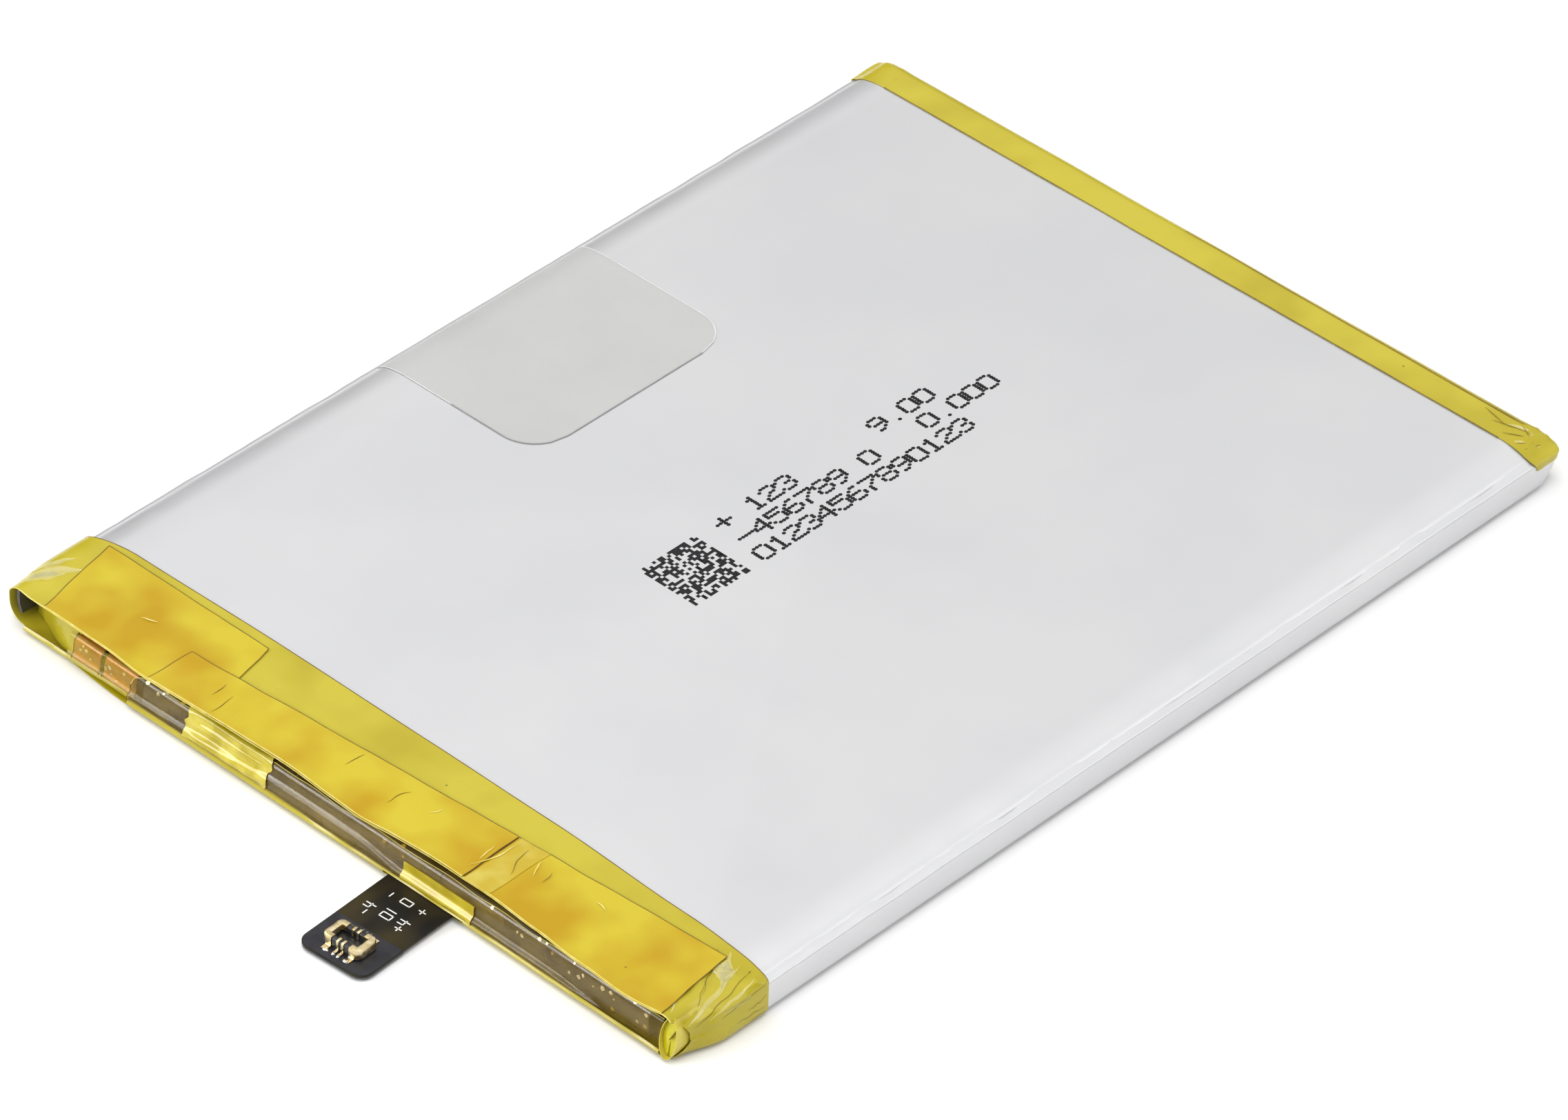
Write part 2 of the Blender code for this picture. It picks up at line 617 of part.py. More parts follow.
def main():
    clear_scene()
    laminate = material("laminate", (0.72, 0.72, 0.75), 0.45, 0.3)
    flex = material("flex_black", (0.03, 0.028, 0.02), 0.35)
    gold = material("contact_gold", (0.83, 0.62, 0.30), 0.25, 1.0)
    tape = material("polyimide_tape", (0.70, 0.62, 0.06), 0.25, 0.0, 0.7)
    film = material("clear_film", (0.85, 0.85, 0.84), 0.3, 0.0, 0.35)
    make_pouch_cup(laminate)
    make_pouch_lid(laminate)
    make_winding()
    make_tabs(
        material("tab_aluminium", (0.80, 0.80, 0.82), 0.35, 1.0),
        material("tab_nickel", (0.62, 0.60, 0.55), 0.35, 1.0),
        material("tab_sealing_film", (0.88, 0.86, 0.78), 0.5),
        material("weld_pad_nickel", (0.66, 0.63, 0.57), 0.3, 1.0),
    )
    make_board(
        material("solder_mask", (0.02, 0.10, 0.04), 0.4),
        material("board_film", (0.60, 0.45, 0.10), 0.4),
        material("foam", (0.04, 0.04, 0.045), 0.9),
    )
    make_components()
    make_flex_fold(flex)
    make_flex_root(flex)
    stiffener = material("stiffener", (0.08, 0.08, 0.09), 0.5)
    make_tail(flex, stiffener, material("plug_black", (0.02, 0.02, 0.022), 0.4), gold)
    make_sleeve(tape)
    make_amber_strips(material("amber_tape", (0.75, 0.52, 0.03), 0.25, 0.0, 0.8))
    make_front_tapes(tape, material("gold_tape", (0.70, 0.58, 0.08), 0.2, 0.0, 0.85))
    make_far_tape(tape)
    make_label(film)


main()
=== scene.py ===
"""Looks for the pouch battery pack: the soft laminate pouch, the polyimide tapes round both ends, the
flexible circuit's roll and tail, the plug, and the ink on the printed face.

Points are worked out in millimetres in the frame's own axes, and written to the meshes in metres.
"""

import json
import math
import random

import bmesh
import bpy
import numpy as np
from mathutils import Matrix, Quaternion, Vector, noise


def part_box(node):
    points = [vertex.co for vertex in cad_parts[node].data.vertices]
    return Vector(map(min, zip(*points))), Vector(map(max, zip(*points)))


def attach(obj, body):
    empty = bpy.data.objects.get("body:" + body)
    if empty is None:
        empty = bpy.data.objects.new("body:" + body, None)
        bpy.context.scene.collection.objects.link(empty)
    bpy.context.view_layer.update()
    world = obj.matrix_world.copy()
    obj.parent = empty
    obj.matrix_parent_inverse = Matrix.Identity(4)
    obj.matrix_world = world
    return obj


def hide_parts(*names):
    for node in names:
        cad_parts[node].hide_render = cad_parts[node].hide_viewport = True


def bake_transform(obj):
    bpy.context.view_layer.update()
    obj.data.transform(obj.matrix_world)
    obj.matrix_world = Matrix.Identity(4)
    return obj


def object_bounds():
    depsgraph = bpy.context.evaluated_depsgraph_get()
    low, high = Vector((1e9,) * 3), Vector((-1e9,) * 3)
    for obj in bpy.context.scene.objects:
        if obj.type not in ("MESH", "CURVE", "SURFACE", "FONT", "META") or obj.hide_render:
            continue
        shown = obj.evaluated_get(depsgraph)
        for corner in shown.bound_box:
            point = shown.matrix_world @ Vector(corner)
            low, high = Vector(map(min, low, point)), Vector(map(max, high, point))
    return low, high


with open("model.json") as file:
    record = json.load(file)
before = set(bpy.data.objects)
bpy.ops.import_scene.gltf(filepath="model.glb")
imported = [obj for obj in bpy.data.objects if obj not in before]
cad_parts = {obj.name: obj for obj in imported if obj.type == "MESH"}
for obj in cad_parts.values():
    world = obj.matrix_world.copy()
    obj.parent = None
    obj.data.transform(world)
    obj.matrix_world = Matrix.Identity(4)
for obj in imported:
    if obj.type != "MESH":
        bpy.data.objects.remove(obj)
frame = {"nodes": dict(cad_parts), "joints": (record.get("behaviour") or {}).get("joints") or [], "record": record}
CAD_LOW, CAD_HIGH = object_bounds()

MM = 0.001

# ---------------------------------------------------------------- sizes, from the frame


def box_mm(node):
    low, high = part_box(node)
    return low / MM, high / MM


CUP_HIGH = box_mm("pouch_cup")[1]
LID_LOW, LID_HIGH = box_mm("pouch_lid")
FAR_TAPE_HIGH = box_mm("far_end_tape")[1]
LABEL_LOW, LABEL_HIGH = box_mm("clear_label")
ROLL_LOW = box_mm("flex_fold_left")[0]
ROLL_HIGH = box_mm("flex_fold_right")[1]
JOINTS = {joint["name"]: joint for joint in frame["joints"]}

TOP = CUP_HIGH.z
HALF = LID_HIGH.x
CUP_HALF = CUP_HIGH.x
CUP_NEAR = LID_LOW.y + 2.7  # the cup's wall, behind the terrace
CUP_FAR = FAR_TAPE_HIGH.y - 0.05
FLAP_TOP = LID_HIGH.z
TAPE = 0.08

# How the pouch's shoulders fall away: reach in from the side, reach in from the end, and depth.
SHOULDER_SIDE = 2.6
SHOULDER_END = 1.0
SHOULDER_DROP = 0.85
LOW_CORNER = 2.2  # the corners' radius in plan at the back, where they are plain arcs
CORNER = 0.55  # how square the corners are in plan: 1 would be an ellipse, and 0 square

# ---------------------------------------------------------------- mesh helpers


def smoothstep(low, high, value):
    share = min(max((value - low) / (high - low), 0.0), 1.0)
    return share * share * (3 - 2 * share)


def drift(x, y, z, size, seed=0.0):
    """Smooth noise from -1 to 1 whose features are about the given size."""
    return noise.noise(Vector((x / size + seed, y / size - seed, z / size + 0.37 * seed)))


def along(table, x):
    """A value read from (place, value) pairs, smooth between them."""
    if x <= table[0][0]:
        return table[0][1]
    for (x0, low), (x1, high) in zip(table, table[1:]):
        if x <= x1:
            return low + (high - low) * smoothstep(x0, x1, x)
    return table[-1][1]


def corner_turn(angle, power=CORNER):
    """The cosine and sine of an angle, drawn out towards a square corner."""
    cosine, sine = math.cos(angle), math.sin(angle)
    return math.copysign(abs(cosine) ** power, cosine), math.copysign(abs(sine) ** power, sine)


def spread(low, high, steps):
    """Evenly spaced values from low to high, both of them included."""
    return [low + (high - low) * i / steps for i in range(steps + 1)]


def quarter(steps):
    """The angles of a quarter turn, in radians."""
    return [math.radians(angle) for angle in spread(0, 90, steps)]


def raised(points, lift):
    return [(x, y, z + lift) for x, y, z in points]


def sheet(grid, thickness, wrap=False, keep=None):
    """Vertices and faces of a thin closed body round a grid of points. It has both sides and a rim.
    With wrap, the last row joins the first. keep(i, j) says which cells stay."""
    grid = np.asarray(grid, float)
    rows, columns = grid.shape[:2]
    down = np.roll(grid, -1, 0) - np.roll(grid, 1, 0) if wrap else np.gradient(grid, axis=0)
    normal = np.cross(down, np.gradient(grid, axis=1))
    normal /= np.maximum(np.linalg.norm(normal, axis=2, keepdims=True), 1e-9)
    sides = [(grid + normal * offset).reshape(-1, 3) for offset in (thickness / 2, -thickness / 2)]
    under = rows * columns
    faces, rim = [], {}
    for i in range(rows if wrap else rows - 1):
        for j in range(columns - 1):
            if keep and not keep(i, j):
                continue
            below = (i + 1) % rows * columns + j
            cell = (i * columns + j, below, below + 1, i * columns + j + 1)
            faces.append(cell)
            faces.append(tuple(corner + under for corner in cell[::-1]))
            for start, end in zip(cell, cell[1:] + cell[:1]):
                if rim.pop((end, start), None) is None:
                    rim[start, end] = True
    faces += [(end, start, start + under, end + under) for start, end in rim]
    return np.concatenate(sides), faces


def loft(rings):
    """Vertices and faces through closed rings of equal length, capped at both ends."""
    count = len(rings[0])
    faces = [tuple(range(count)), tuple(range((len(rings) - 1) * count, len(rings) * count))]
    for level in range(len(rings) - 1):
        for i in range(count):
            j = (i + 1) % count
            low, high = level * count, (level + 1) * count
            faces.append((low + i, low + j, high + j, high + i))
    return np.concatenate([np.asarray(ring, float) for ring in rings]), faces


def together(parts):
    """Several (vertices, faces) pairs as one."""
    points, faces, start = [], [], 0
    for some_points, some_faces in parts:
        points.append(np.asarray(some_points, float))
        faces += [tuple(index + start for index in face) for face in some_faces]
        start += len(some_points)
    return np.concatenate(points), faces


def piece(name, shape, finish, nodes=(), body="pack", sharp=40.0, bend=None):
    """A named mesh, with its finish by name. It rides on a body; given bend, it stays where it is and rides on
    none, and what bend holds is not used.
    """
    points, faces = shape
    data = bpy.data.meshes.new(name)
    data.from_pydata([tuple(point) for point in np.asarray(points) * MM], [], faces)
    mesh = bmesh.new()
    mesh.from_mesh(data)
    bmesh.ops.delete(mesh, geom=[vert for vert in mesh.verts if not vert.link_faces], context="VERTS")
    bmesh.ops.remove_doubles(mesh, verts=mesh.verts, dist=1e-7)
    bmesh.ops.recalc_face_normals(mesh, faces=mesh.faces)
    mesh.to_mesh(data)
    mesh.free()
    data.shade_smooth()
    data.set_sharp_from_angle(angle=math.radians(sharp))
    data.materials.append(LOOKS[finish])
    made = bpy.data.objects.new(name, data)
    bpy.context.scene.collection.objects.link(made)
    if bend:
        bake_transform(made)
    else:
        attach(made, body)
    if nodes:
        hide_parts(*nodes)
    return made


def strip(path, width, thickness, flat_normal=(0, 0, 1), taper=False):
    """A thin band that follows a line of points, lying square to a normal. With taper it ends in points."""
    path = np.asarray(path, float)
    heading = np.gradient(path, axis=0)
    sideways = np.cross(np.broadcast_to(np.asarray(flat_normal, float), path.shape), heading)
    sideways /= np.maximum(np.linalg.norm(sideways, axis=1, keepdims=True), 1e-9)
    if taper:
        sideways *= 0.08 + 0.92 * np.sin(np.linspace(0, math.pi, len(path)))[:, None]
    return sheet([path - sideways * width / 2, path + sideways * width / 2], thickness)


def grid_point(grid, row, column):
    """A point on a grid, and the grid's normal there, at a row and column that need not be whole."""
    rows, columns = grid.shape[:2]
    i, j = min(max(int(row), 0), rows - 2), min(max(int(column), 0), columns - 2)
    a, b = row - i, column - j
    near = grid[i, j] * (1 - b) + grid[i, j + 1] * b
    far = grid[i + 1, j] * (1 - b) + grid[i + 1, j + 1] * b
    normal = np.cross(grid[i + 1, j] - grid[i, j], grid[i, j + 1] - grid[i, j])
    return near * (1 - a) + far * a, normal / max(np.linalg.norm(normal), 1e-9)


def crease(grid, start, end, width, lift, seed):
    """A tapered line laid on a grid from one (row, column) to another, wandering a little."""
    grid = np.asarray(grid, float)
    path, normals = [], []
    for share in spread(0, 1, 18):
        sway = 0.5 * math.sin(math.pi * share) * drift(3 * share, seed, 0.0, 1.0, seed)
        row = start[0] + (end[0] - start[0]) * share + sway
        point, normal = grid_point(grid, row, start[1] + (end[1] - start[1]) * share)
        path.append(point + normal * lift)
        normals.append(normal)
    return strip(path, width, 0.012, normals, taper=True)


def glow(grid, start, end, width, lift, seed):
    """A soft painted highlight: two nested crease lines, so that its middle is the brighter."""
    inner = crease(grid, start, end, 0.55 * width, lift + 0.014, seed)
    return together([crease(grid, start, end, width, lift, seed), inner])


# ---------------------------------------------------------------- materials


LOOKS = {}  # each finished material by its own name


class Nodes:
    """A material's node tree, with one short call for each kind of node."""

    def __init__(self, name):
        LOOKS[name] = bpy.data.materials.new(name)
        LOOKS[name].use_nodes = True
        self.tree = LOOKS[name].node_tree
        self.shader = self.tree.nodes["Principled BSDF"]
        self.place = self.add("ShaderNodeTexCoord").outputs["Object"]

    def add(self, kind, **settings):
        made = self.tree.nodes.new(kind)
        for name, value in settings.items():
            setattr(made, name, value)
        return made

    def link(self, start, end):
        self.tree.links.new(start, end)

    def texture(self, kind, size_mm, stretch=(1, 1, 1)):
        """A texture node whose features are about this size, drawn out along an axis by a stretch under 1."""
        mapping = self.add("ShaderNodeMapping")
        mapping.inputs["Scale"].default_value = [share / (size_mm * MM) for share in stretch]
        self.link(self.place, mapping.inputs["Vector"])
        made = self.add(kind)
        made.inputs["Scale"].default_value = 1.0
        self.link(mapping.outputs["Vector"], made.inputs["Vector"])
        return made

    def noise(self, size_mm, detail=3.0, stretch=(1, 1, 1)):
        made = self.texture("ShaderNodeTexNoise", size_mm, stretch)
        made.inputs["Detail"].default_value = detail
        return made.outputs["Fac"]

    def specks(self, apart_mm, size_share):
        """1 at small round specks and 0 between them."""
        cells = self.texture("ShaderNodeTexVoronoi", apart_mm)
        return self.between(cells.outputs["Distance"], size_share, size_share * 0.6, 0.0, 1.0)

    def between(self, value, low, high, to_low, to_high):
        made = self.add("ShaderNodeMapRange")
        for name, number in zip(("From Min", "From Max", "To Min", "To Max"), (low, high, to_low, to_high)):
            made.inputs[name].default_value = number
        self.link(value, made.inputs["Value"])
        return made.outputs["Result"]

    def ramp(self, value, stops):
        """Colours by value: (place, colour) pairs."""
        made = self.add("ShaderNodeValToRGB")
        while len(made.color_ramp.elements) < len(stops):
            made.color_ramp.elements.new(0.5)
        for element, (place, colour) in zip(made.color_ramp.elements, stops):
            element.position = place
            element.color = (*colour, 1.0)
        self.link(value, made.inputs["Fac"])
        return made.outputs["Color"]

    def mix(self, share, first, second):
        """The first colour, turned to the second by a share. The second is a constant."""
        made = self.add("ShaderNodeMix", data_type="RGBA")
        self.link(share, made.inputs[0])
        self.link(first, made.inputs[6])
        made.inputs[7].default_value = (*second, 1.0)
        return made.outputs[2]

    def bump(self, value, height_mm, strength=1.0, under=None):
        made = self.add("ShaderNodeBump")
        made.inputs["Strength"].default_value = strength
        made.inputs["Distance"].default_value = height_mm * MM
        self.link(value, made.inputs["Height"])
        if under:
            self.link(under, made.inputs["Normal"])
        return made.outputs["Normal"]

    def set(self, **constants):
        for name, value in constants.items():
            self.shader.inputs[name.replace("_", " ")].default_value = value

    def done(self, colour, rough, normal=None):
        self.link(colour, self.shader.inputs["Base Color"])
        self.link(rough, self.shader.inputs["Roughness"])
        if normal:
            self.link(normal, self.shader.inputs["Normal"])


def laminate_finish():
    """Matt aluminium laminate: nearly even, with faint handling marks, pin pricks and a fine grain."""
    look = Nodes("laminate")
    tone = look.ramp(look.noise(14.0), [(0.35, (0.640, 0.641, 0.652)), (0.65, (0.668, 0.668, 0.676))])
    tone = look.mix(look.specks(9.0, 0.010), tone, (0.20, 0.20, 0.21))
    rough = look.between(look.noise(5.0), 0.3, 0.7, 0.36, 0.42)
    normal = look.bump(look.noise(6.0, 2.0), 0.010, 0.2)
    normal = look.bump(look.noise(0.5, 2.0), 0.004, 0.3, normal)
    look.set(Metallic=0.7)
    look.done(tone, rough, normal)


def tape_finish(name, light, deep, alpha, rough=(0.16, 0.30), wrinkle=0.02, size=6.0, specular=0.42):
    """Polyimide film: a clear glossy yellow that is deeper in places, with faint wrinkles."""
    look = Nodes(name)
    tone = look.ramp(look.noise(size, 2.0), [(0.36, deep), (0.62, light)])
    tone = look.mix(look.specks(2.6, 0.035), tone, tuple(0.45 * part for part in deep))
    roughness = look.between(look.noise(3.0), 0.3, 0.7, *rough)
    normal = look.bump(look.noise(4.0, 2.0), wrinkle, 0.5)
    normal = look.bump(look.noise(1.3, 1.0, (1, 0.5, 1)), 0.2 * wrinkle, 0.4, normal)
    look.set(Alpha=alpha, Specular_IOR_Level=specular)
    look.done(tone, roughness, normal)


def plain_finish(name, light, deep, size, rough, metallic=0.0, bump=0.01, stretch=(1, 1, 1), alpha=1.0,
                 specular=0.5):
    """Two tones of one colour that drift into each other, with a fine grain."""
    look = Nodes(name)
    tone = look.ramp(look.noise(size, 3.0, stretch), [(0.35, deep), (0.65, light)])
    roughness = look.between(look.noise(size, 2.0, stretch), 0.3, 0.7, *rough)
    normal = look.bump(look.noise(0.4 * size, 3.0, stretch), bump, 0.5)
    look.set(Metallic=metallic, Alpha=alpha, Specular_IOR_Level=specular)
    look.done(tone, roughness, normal)


def roll_finish():
    """The flexible circuit under its film: brown and olive, in long patches with amber flecks."""
    look = Nodes("roll_film")
    tone = look.ramp(
        look.noise(2.6, 1.0, (0.6, 1, 1)),
        [(0.34, (0.024, 0.014, 0.004)), (0.52, (0.060, 0.036, 0.009)), (0.70, (0.150, 0.100, 0.022))],
    )
    tone = look.mix(look.specks(1.9, 0.10), tone, (0.55, 0.36, 0.03))
    roughness = look.between(look.noise(3.0), 0.3, 0.7, 0.20, 0.32)
    normal = look.bump(look.noise(4.0, 0.0, (0.5, 1, 1)), 0.04, 0.3)
    look.set(Specular_IOR_Level=0.8)
    look.done(tone, roughness, normal)


def tail_finish():
    """Black coverlay with a brown cast where the copper under it thins out."""
    look = Nodes("tail_coverlay")
    tone = look.ramp(
        look.noise(2.2, 1.0, (1, 0.5, 1)),
        [(0.30, (0.010, 0.009, 0.008)), (0.70, (0.040, 0.030, 0.010))],
    )
    roughness = look.between(look.noise(1.0), 0.3, 0.7, 0.28, 0.42)
    normal = look.bump(look.noise(0.6, 2.0, (1, 0.15, 1)), 0.006, 0.6)
    look.set(Specular_IOR_Level=0.12)
    look.done(tone, roughness, normal)


# The tapes: name, light tone, deep tone and opacity, then the range of roughness, the wrinkles' height,
# the size of the patches and the specular level where they are not the usual ones.
TAPES = (
    ("tape_yellow", (0.51, 0.430, 0.026), (0.43, 0.350, 0.012), 0.92),
    ("tape_amber", (0.57, 0.455, 0.022), (0.47, 0.285, 0.001), 0.90, (0.16, 0.30), 0.02, 5.5, 0.30),
    # The pale tape is painted glare on the right amber tape.
    ("tape_pale_glare", (0.74, 0.62, 0.12), (0.62, 0.46, 0.03), 0.64, (0.16, 0.30), 0.02, 2.5),
    ("tape_bright", (0.64, 0.54, 0.07), (0.44, 0.35, 0.012), 0.92, (0.12, 0.24), 0.04, 1.6),
    ("tape_clear", (0.30, 0.21, 0.03), (0.18, 0.115, 0.012), 0.24, (0.10, 0.16), 0.015, 2.0),
    ("tape_thin", (0.52, 0.42, 0.02), (0.40, 0.30, 0.01), 0.22, (0.08, 0.16), 0.03, 2.0),
    ("tape_gold", (0.62, 0.50, 0.04), (0.44, 0.33, 0.012), 0.95, (0.10, 0.2), 0.02, 2.5),
    ("tape_web", (0.62, 0.56, 0.012), (0.52, 0.46, 0.006), 0.95, (0.12, 0.24), 0.02, 1.0),
)

# The rest of the drawn pieces: name, light tone, deep tone, size of the patches, range of roughness, and
# what else differs.
PLAIN = (
    # Painted light: dark lines of painted shade along tape edges, gaps and creases, soft patches of painted
    # highlight, painted shade in folds, and bright lines of painted highlight along edges and crests.
    ("tape_edge_shade", (0.22, 0.13, 0.010), (0.12, 0.07, 0.006), 1.0, (0.3, 0.5), {"alpha": 0.75}),
    ("tape_sheen", (0.98, 0.92, 0.48), (0.90, 0.82, 0.32), 0.8, (0.12, 0.2), {"alpha": 0.15}),
    ("tape_fold_shade", (0.30, 0.21, 0.008), (0.20, 0.13, 0.004), 2.0, (0.3, 0.5), {"alpha": 0.6}),
    ("tape_edge_highlight", (0.86, 0.76, 0.25), (0.76, 0.62, 0.10), 0.8, (0.15, 0.3), {"alpha": 0.8}),
    # The label's edge: painted shade and a painted highlight.
    ("label_edge_shade", (0.34, 0.34, 0.34), (0.27, 0.27, 0.27), 1.0, (0.4, 0.5), {"alpha": 0.9}),
    ("label_edge_highlight", (0.80, 0.80, 0.80), (0.70, 0.70, 0.70), 1.0, (0.2, 0.3), {"alpha": 0.7}),
    ("label_clear", (0.635, 0.635, 0.62), (0.61, 0.61, 0.595), 6.0, (0.32, 0.40), {"alpha": 0.4}),
    ("ink", (0.022, 0.020, 0.022), (0.012, 0.011, 0.012), 0.4, (0.5, 0.7), {"specular": 0.15}),
    ("gilding", (0.86, 0.74, 0.47), (0.60, 0.46, 0.22), 0.45, (0.18, 0.36), {"metallic": 1.0}),
    ("copper", (0.52, 0.19, 0.035), (0.40, 0.13, 0.02), 0.8, (0.28, 0.4), {"metallic": 0.4}),
    ("bracket", (0.05, 0.05, 0.055), (0.03, 0.03, 0.034), 0.5, (0.25, 0.4), {}),
    ("silk", (0.82, 0.82, 0.80), (0.72, 0.72, 0.70), 0.3, (0.5, 0.6), {}),
    ("tail_cover", (0.026, 0.026, 0.032), (0.015, 0.015, 0.019), 0.9, (0.3, 0.45), {"specular": 0.25}),
    ("trace", (0.20, 0.17, 0.10), (0.10, 0.085, 0.05), 0.3, (0.3, 0.4), {}),
    ("plug_plastic", (0.022, 0.022, 0.024), (0.012, 0.012, 0.013), 0.3, (0.25, 0.4), {}),
    ("solder", (0.78, 0.77, 0.74), (0.60, 0.59, 0.56), 0.2, (0.2, 0.35), {"metallic": 1.0}),
)

# Finishes for the nodes that keep their own shape, by material slot. The values are as above.
METAL = {"metallic": 1.0, "bump": 0.004}
CARRIED = {
    "separator": ("separator", (0.86, 0.86, 0.84), (0.80, 0.80, 0.78), 3.0, (0.5, 0.7), {}),
    "anode_coating": ("anode", (0.10, 0.09, 0.09), (0.06, 0.055, 0.055), 0.6, (0.7, 0.9), {}),
    "cathode_coating": ("cathode", (0.05, 0.05, 0.055), (0.03, 0.03, 0.03), 0.6, (0.7, 0.9), {}),
    "tab_aluminium": ("tab_aluminium", (0.80, 0.80, 0.82), (0.70, 0.70, 0.73), 1.2, (0.3, 0.45), METAL),
    "tab_nickel": ("tab_nickel", (0.64, 0.61, 0.56), (0.54, 0.51, 0.46), 1.2, (0.3, 0.45), METAL),
    "tab_film": ("tab_film", (0.86, 0.84, 0.76), (0.80, 0.78, 0.70), 1.0, (0.4, 0.5), {}),
    "weld_pad": ("weld_pad", (0.66, 0.62, 0.56), (0.54, 0.50, 0.44), 0.5, (0.3, 0.5), METAL),
    "solder_mask": ("solder_mask", (0.02, 0.10, 0.045), (0.01, 0.06, 0.025), 1.0, (0.3, 0.4), {}),
    "board_film": ("board_film", (0.60, 0.44, 0.10), (0.50, 0.34, 0.06), 1.5, (0.3, 0.45), {}),
    "foam": ("foam", (0.05, 0.05, 0.055), (0.025, 0.025, 0.03), 0.3, (0.8, 0.95), {"bump": 0.03}),
    "chip_black": ("chip", (0.035, 0.035, 0.04), (0.02, 0.02, 0.022), 0.4, (0.4, 0.55), {}),
    "capacitor_ceramic": ("ceramic", (0.56, 0.43, 0.28), (0.48, 0.35, 0.22), 0.4, (0.35, 0.5), {}),
    "fuse_metal": ("fuse", (0.62, 0.60, 0.56), (0.52, 0.50, 0.46), 0.8, (0.3, 0.45), METAL),
    "stiffener": ("stiffener", (0.060, 0.062, 0.070), (0.040, 0.041, 0.048), 0.5, (0.4, 0.55), {}),
}


def make_finishes():
    laminate_finish()
    roll_finish()
    tail_finish()
    for values in TAPES:
        tape_finish(*values)
    for *values, others in [*PLAIN, *CARRIED.values()]:
        plain_finish(*values, **others)


# ---------------------------------------------------------------- the pouch


def plan_ring(half, near, far, r, z, grow=0.0, long_steps=90, short_steps=50, corner_steps=12):
    """A ring round the pouch in plan. r is 1 at the outline and 0 where the shoulders begin."""
    square = smoothstep(0.0, 1.7, z)
    side = LOW_CORNER + (SHOULDER_SIDE - LOW_CORNER) * square
    end = LOW_CORNER + (SHOULDER_END - LOW_CORNER) * square
    power = 1 + (CORNER - 1) * square
    reach_x, reach_y = side * r + grow, end * r + grow
    x = half - side
    low, high = near + end, far - end
    ring = []
    corners = ((x, high, 0), (-x, high, 90), (-x, low, 180), (x, low, 270))
    for number, (cx, cy, start) in enumerate(corners):
        for i in range(corner_steps + 1):
            across, forward = corner_turn(math.radians(start + 90 * i / corner_steps), power)
            ring.append((cx + reach_x * across, cy + reach_y * forward, z))
        after = corners[(number + 1) % 4]
        steps = long_steps if number % 2 else short_steps
        across, forward = ((0, 1), (-1, 0), (0, -1), (1, 0))[number]
        xs = spread(cx + reach_x * across, after[0] + reach_x * across, steps)
        ys = spread(cy + reach_y * forward, after[1] + reach_y * forward, steps)
        ring += [(x, y, z) for x, y in zip(xs[1:-1], ys[1:-1])]
    return np.array(ring)


def shoulder_rings(half, near, far, top, grow, steps=14):
    """Rings from the outline up over the shoulder to the flat top."""
    rings = []
    for turn in quarter(steps)[::-1]:
        drop = SHOULDER_DROP * (1 - math.cos(turn))
        rings.append(plan_ring(half, near, far, math.sin(turn), top - drop, grow))
    return rings


def soften(rings, depth, size, seed):
    """Handling dents: points drawn in a little where the noise is strong. The flat top stays flat."""
    for ring in rings:
        for point in ring:
            edge = smoothstep(TOP - 0.002, TOP - 0.12, point[2])
            point[2] -= depth * edge * abs(drift(*point, size, seed))
            point[0] -= math.copysign(depth, point[0]) * edge * abs(drift(*point, 0.7 * size, seed + 9))
    return rings


def make_pouch():
    wall = 0.15
    levels = (0.35, 1.0, 1.7)
    size = (CUP_HALF, CUP_NEAR, CUP_FAR)
    outer = [plan_ring(*size, 1.0, z) for z in levels] + shoulder_rings(*size, TOP, 0.0)
    inner = [plan_ring(*size, 1.0, z, -wall) for z in levels] + shoulder_rings(*size, TOP - wall, -wall)
    shape = loft(soften(inner[::-1] + outer, 0.05, 5.0, 3.0))
    piece("pouch_skin", shape, "laminate", ["pouch_cup"])
    make_back()


# The folded seal's crest: how far outside the cup's outline, and how far above the seal's nominal top.
BACK_CREST = ((-0.02, -0.10), (-0.08, -0.03), (-0.17, 0.02), (-0.28, 0.05), (-0.42, 0.12), (-0.58, 0.24),
              (-0.70, 0.28))


def make_back():
    """The back sheet as a shallow tray: its side seals stand folded against the cup's walls."""
    size = (HALF, CUP_NEAR, CUP_FAR + 0.05)
    lip = HALF - CUP_HALF + 0.03
    outside = [(-2.0, 0.0), (-0.5, 0.0), (-0.31, 0.04), (-0.15, 0.15), (-0.04, 0.31), (0.0, 0.5)]
    outside += [(0.0, 1.1), (0.0, 1.7), (0.0, FLAP_TOP - 0.22)]
    crest = [(grow, FLAP_TOP + rise) for grow, rise in BACK_CREST]
    inside = [(-lip, FLAP_TOP - 0.05), (-lip, 0.4), (-0.5, 0.14), (-2.0, 0.13)]
    rings = [plan_ring(*size, 1.0, z, grow) for grow, z in outside + crest + inside]
    for ring in rings:
        for point in ring:
            rise = smoothstep(0.9, FLAP_TOP, point[2])
            wave = drift(0.0, point[1], 0.0, 3.2, 5.0) + 0.5 * drift(0.0, point[1], 0.0, 1.1, 8.0)
            point[2] += 0.07 * rise * wave
            point[0] += math.copysign(0.035 * rise * drift(0.0, point[1], 4.0, 4.0, 2.0), point[0])
    piece("pouch_back", loft(rings), "laminate", ["pouch_lid"])


def pouch_height(x, y, grow=0.0):
    """The height of the pouch's upper side at a place in plan, with a cover that is grow thick on it."""
    u = max(0.0, abs(x) - (CUP_HALF - SHOULDER_SIDE)) / (SHOULDER_SIDE + grow)
    v = max(0.0, y - (CUP_FAR - SHOULDER_END)) / (SHOULDER_END + grow)
    r = min(math.hypot(u, v), 1.0)
    return TOP + grow - (SHOULDER_DROP + grow) * (1 - math.sqrt(1 - r * r))


# ---------------------------------------------------------------- label and ink


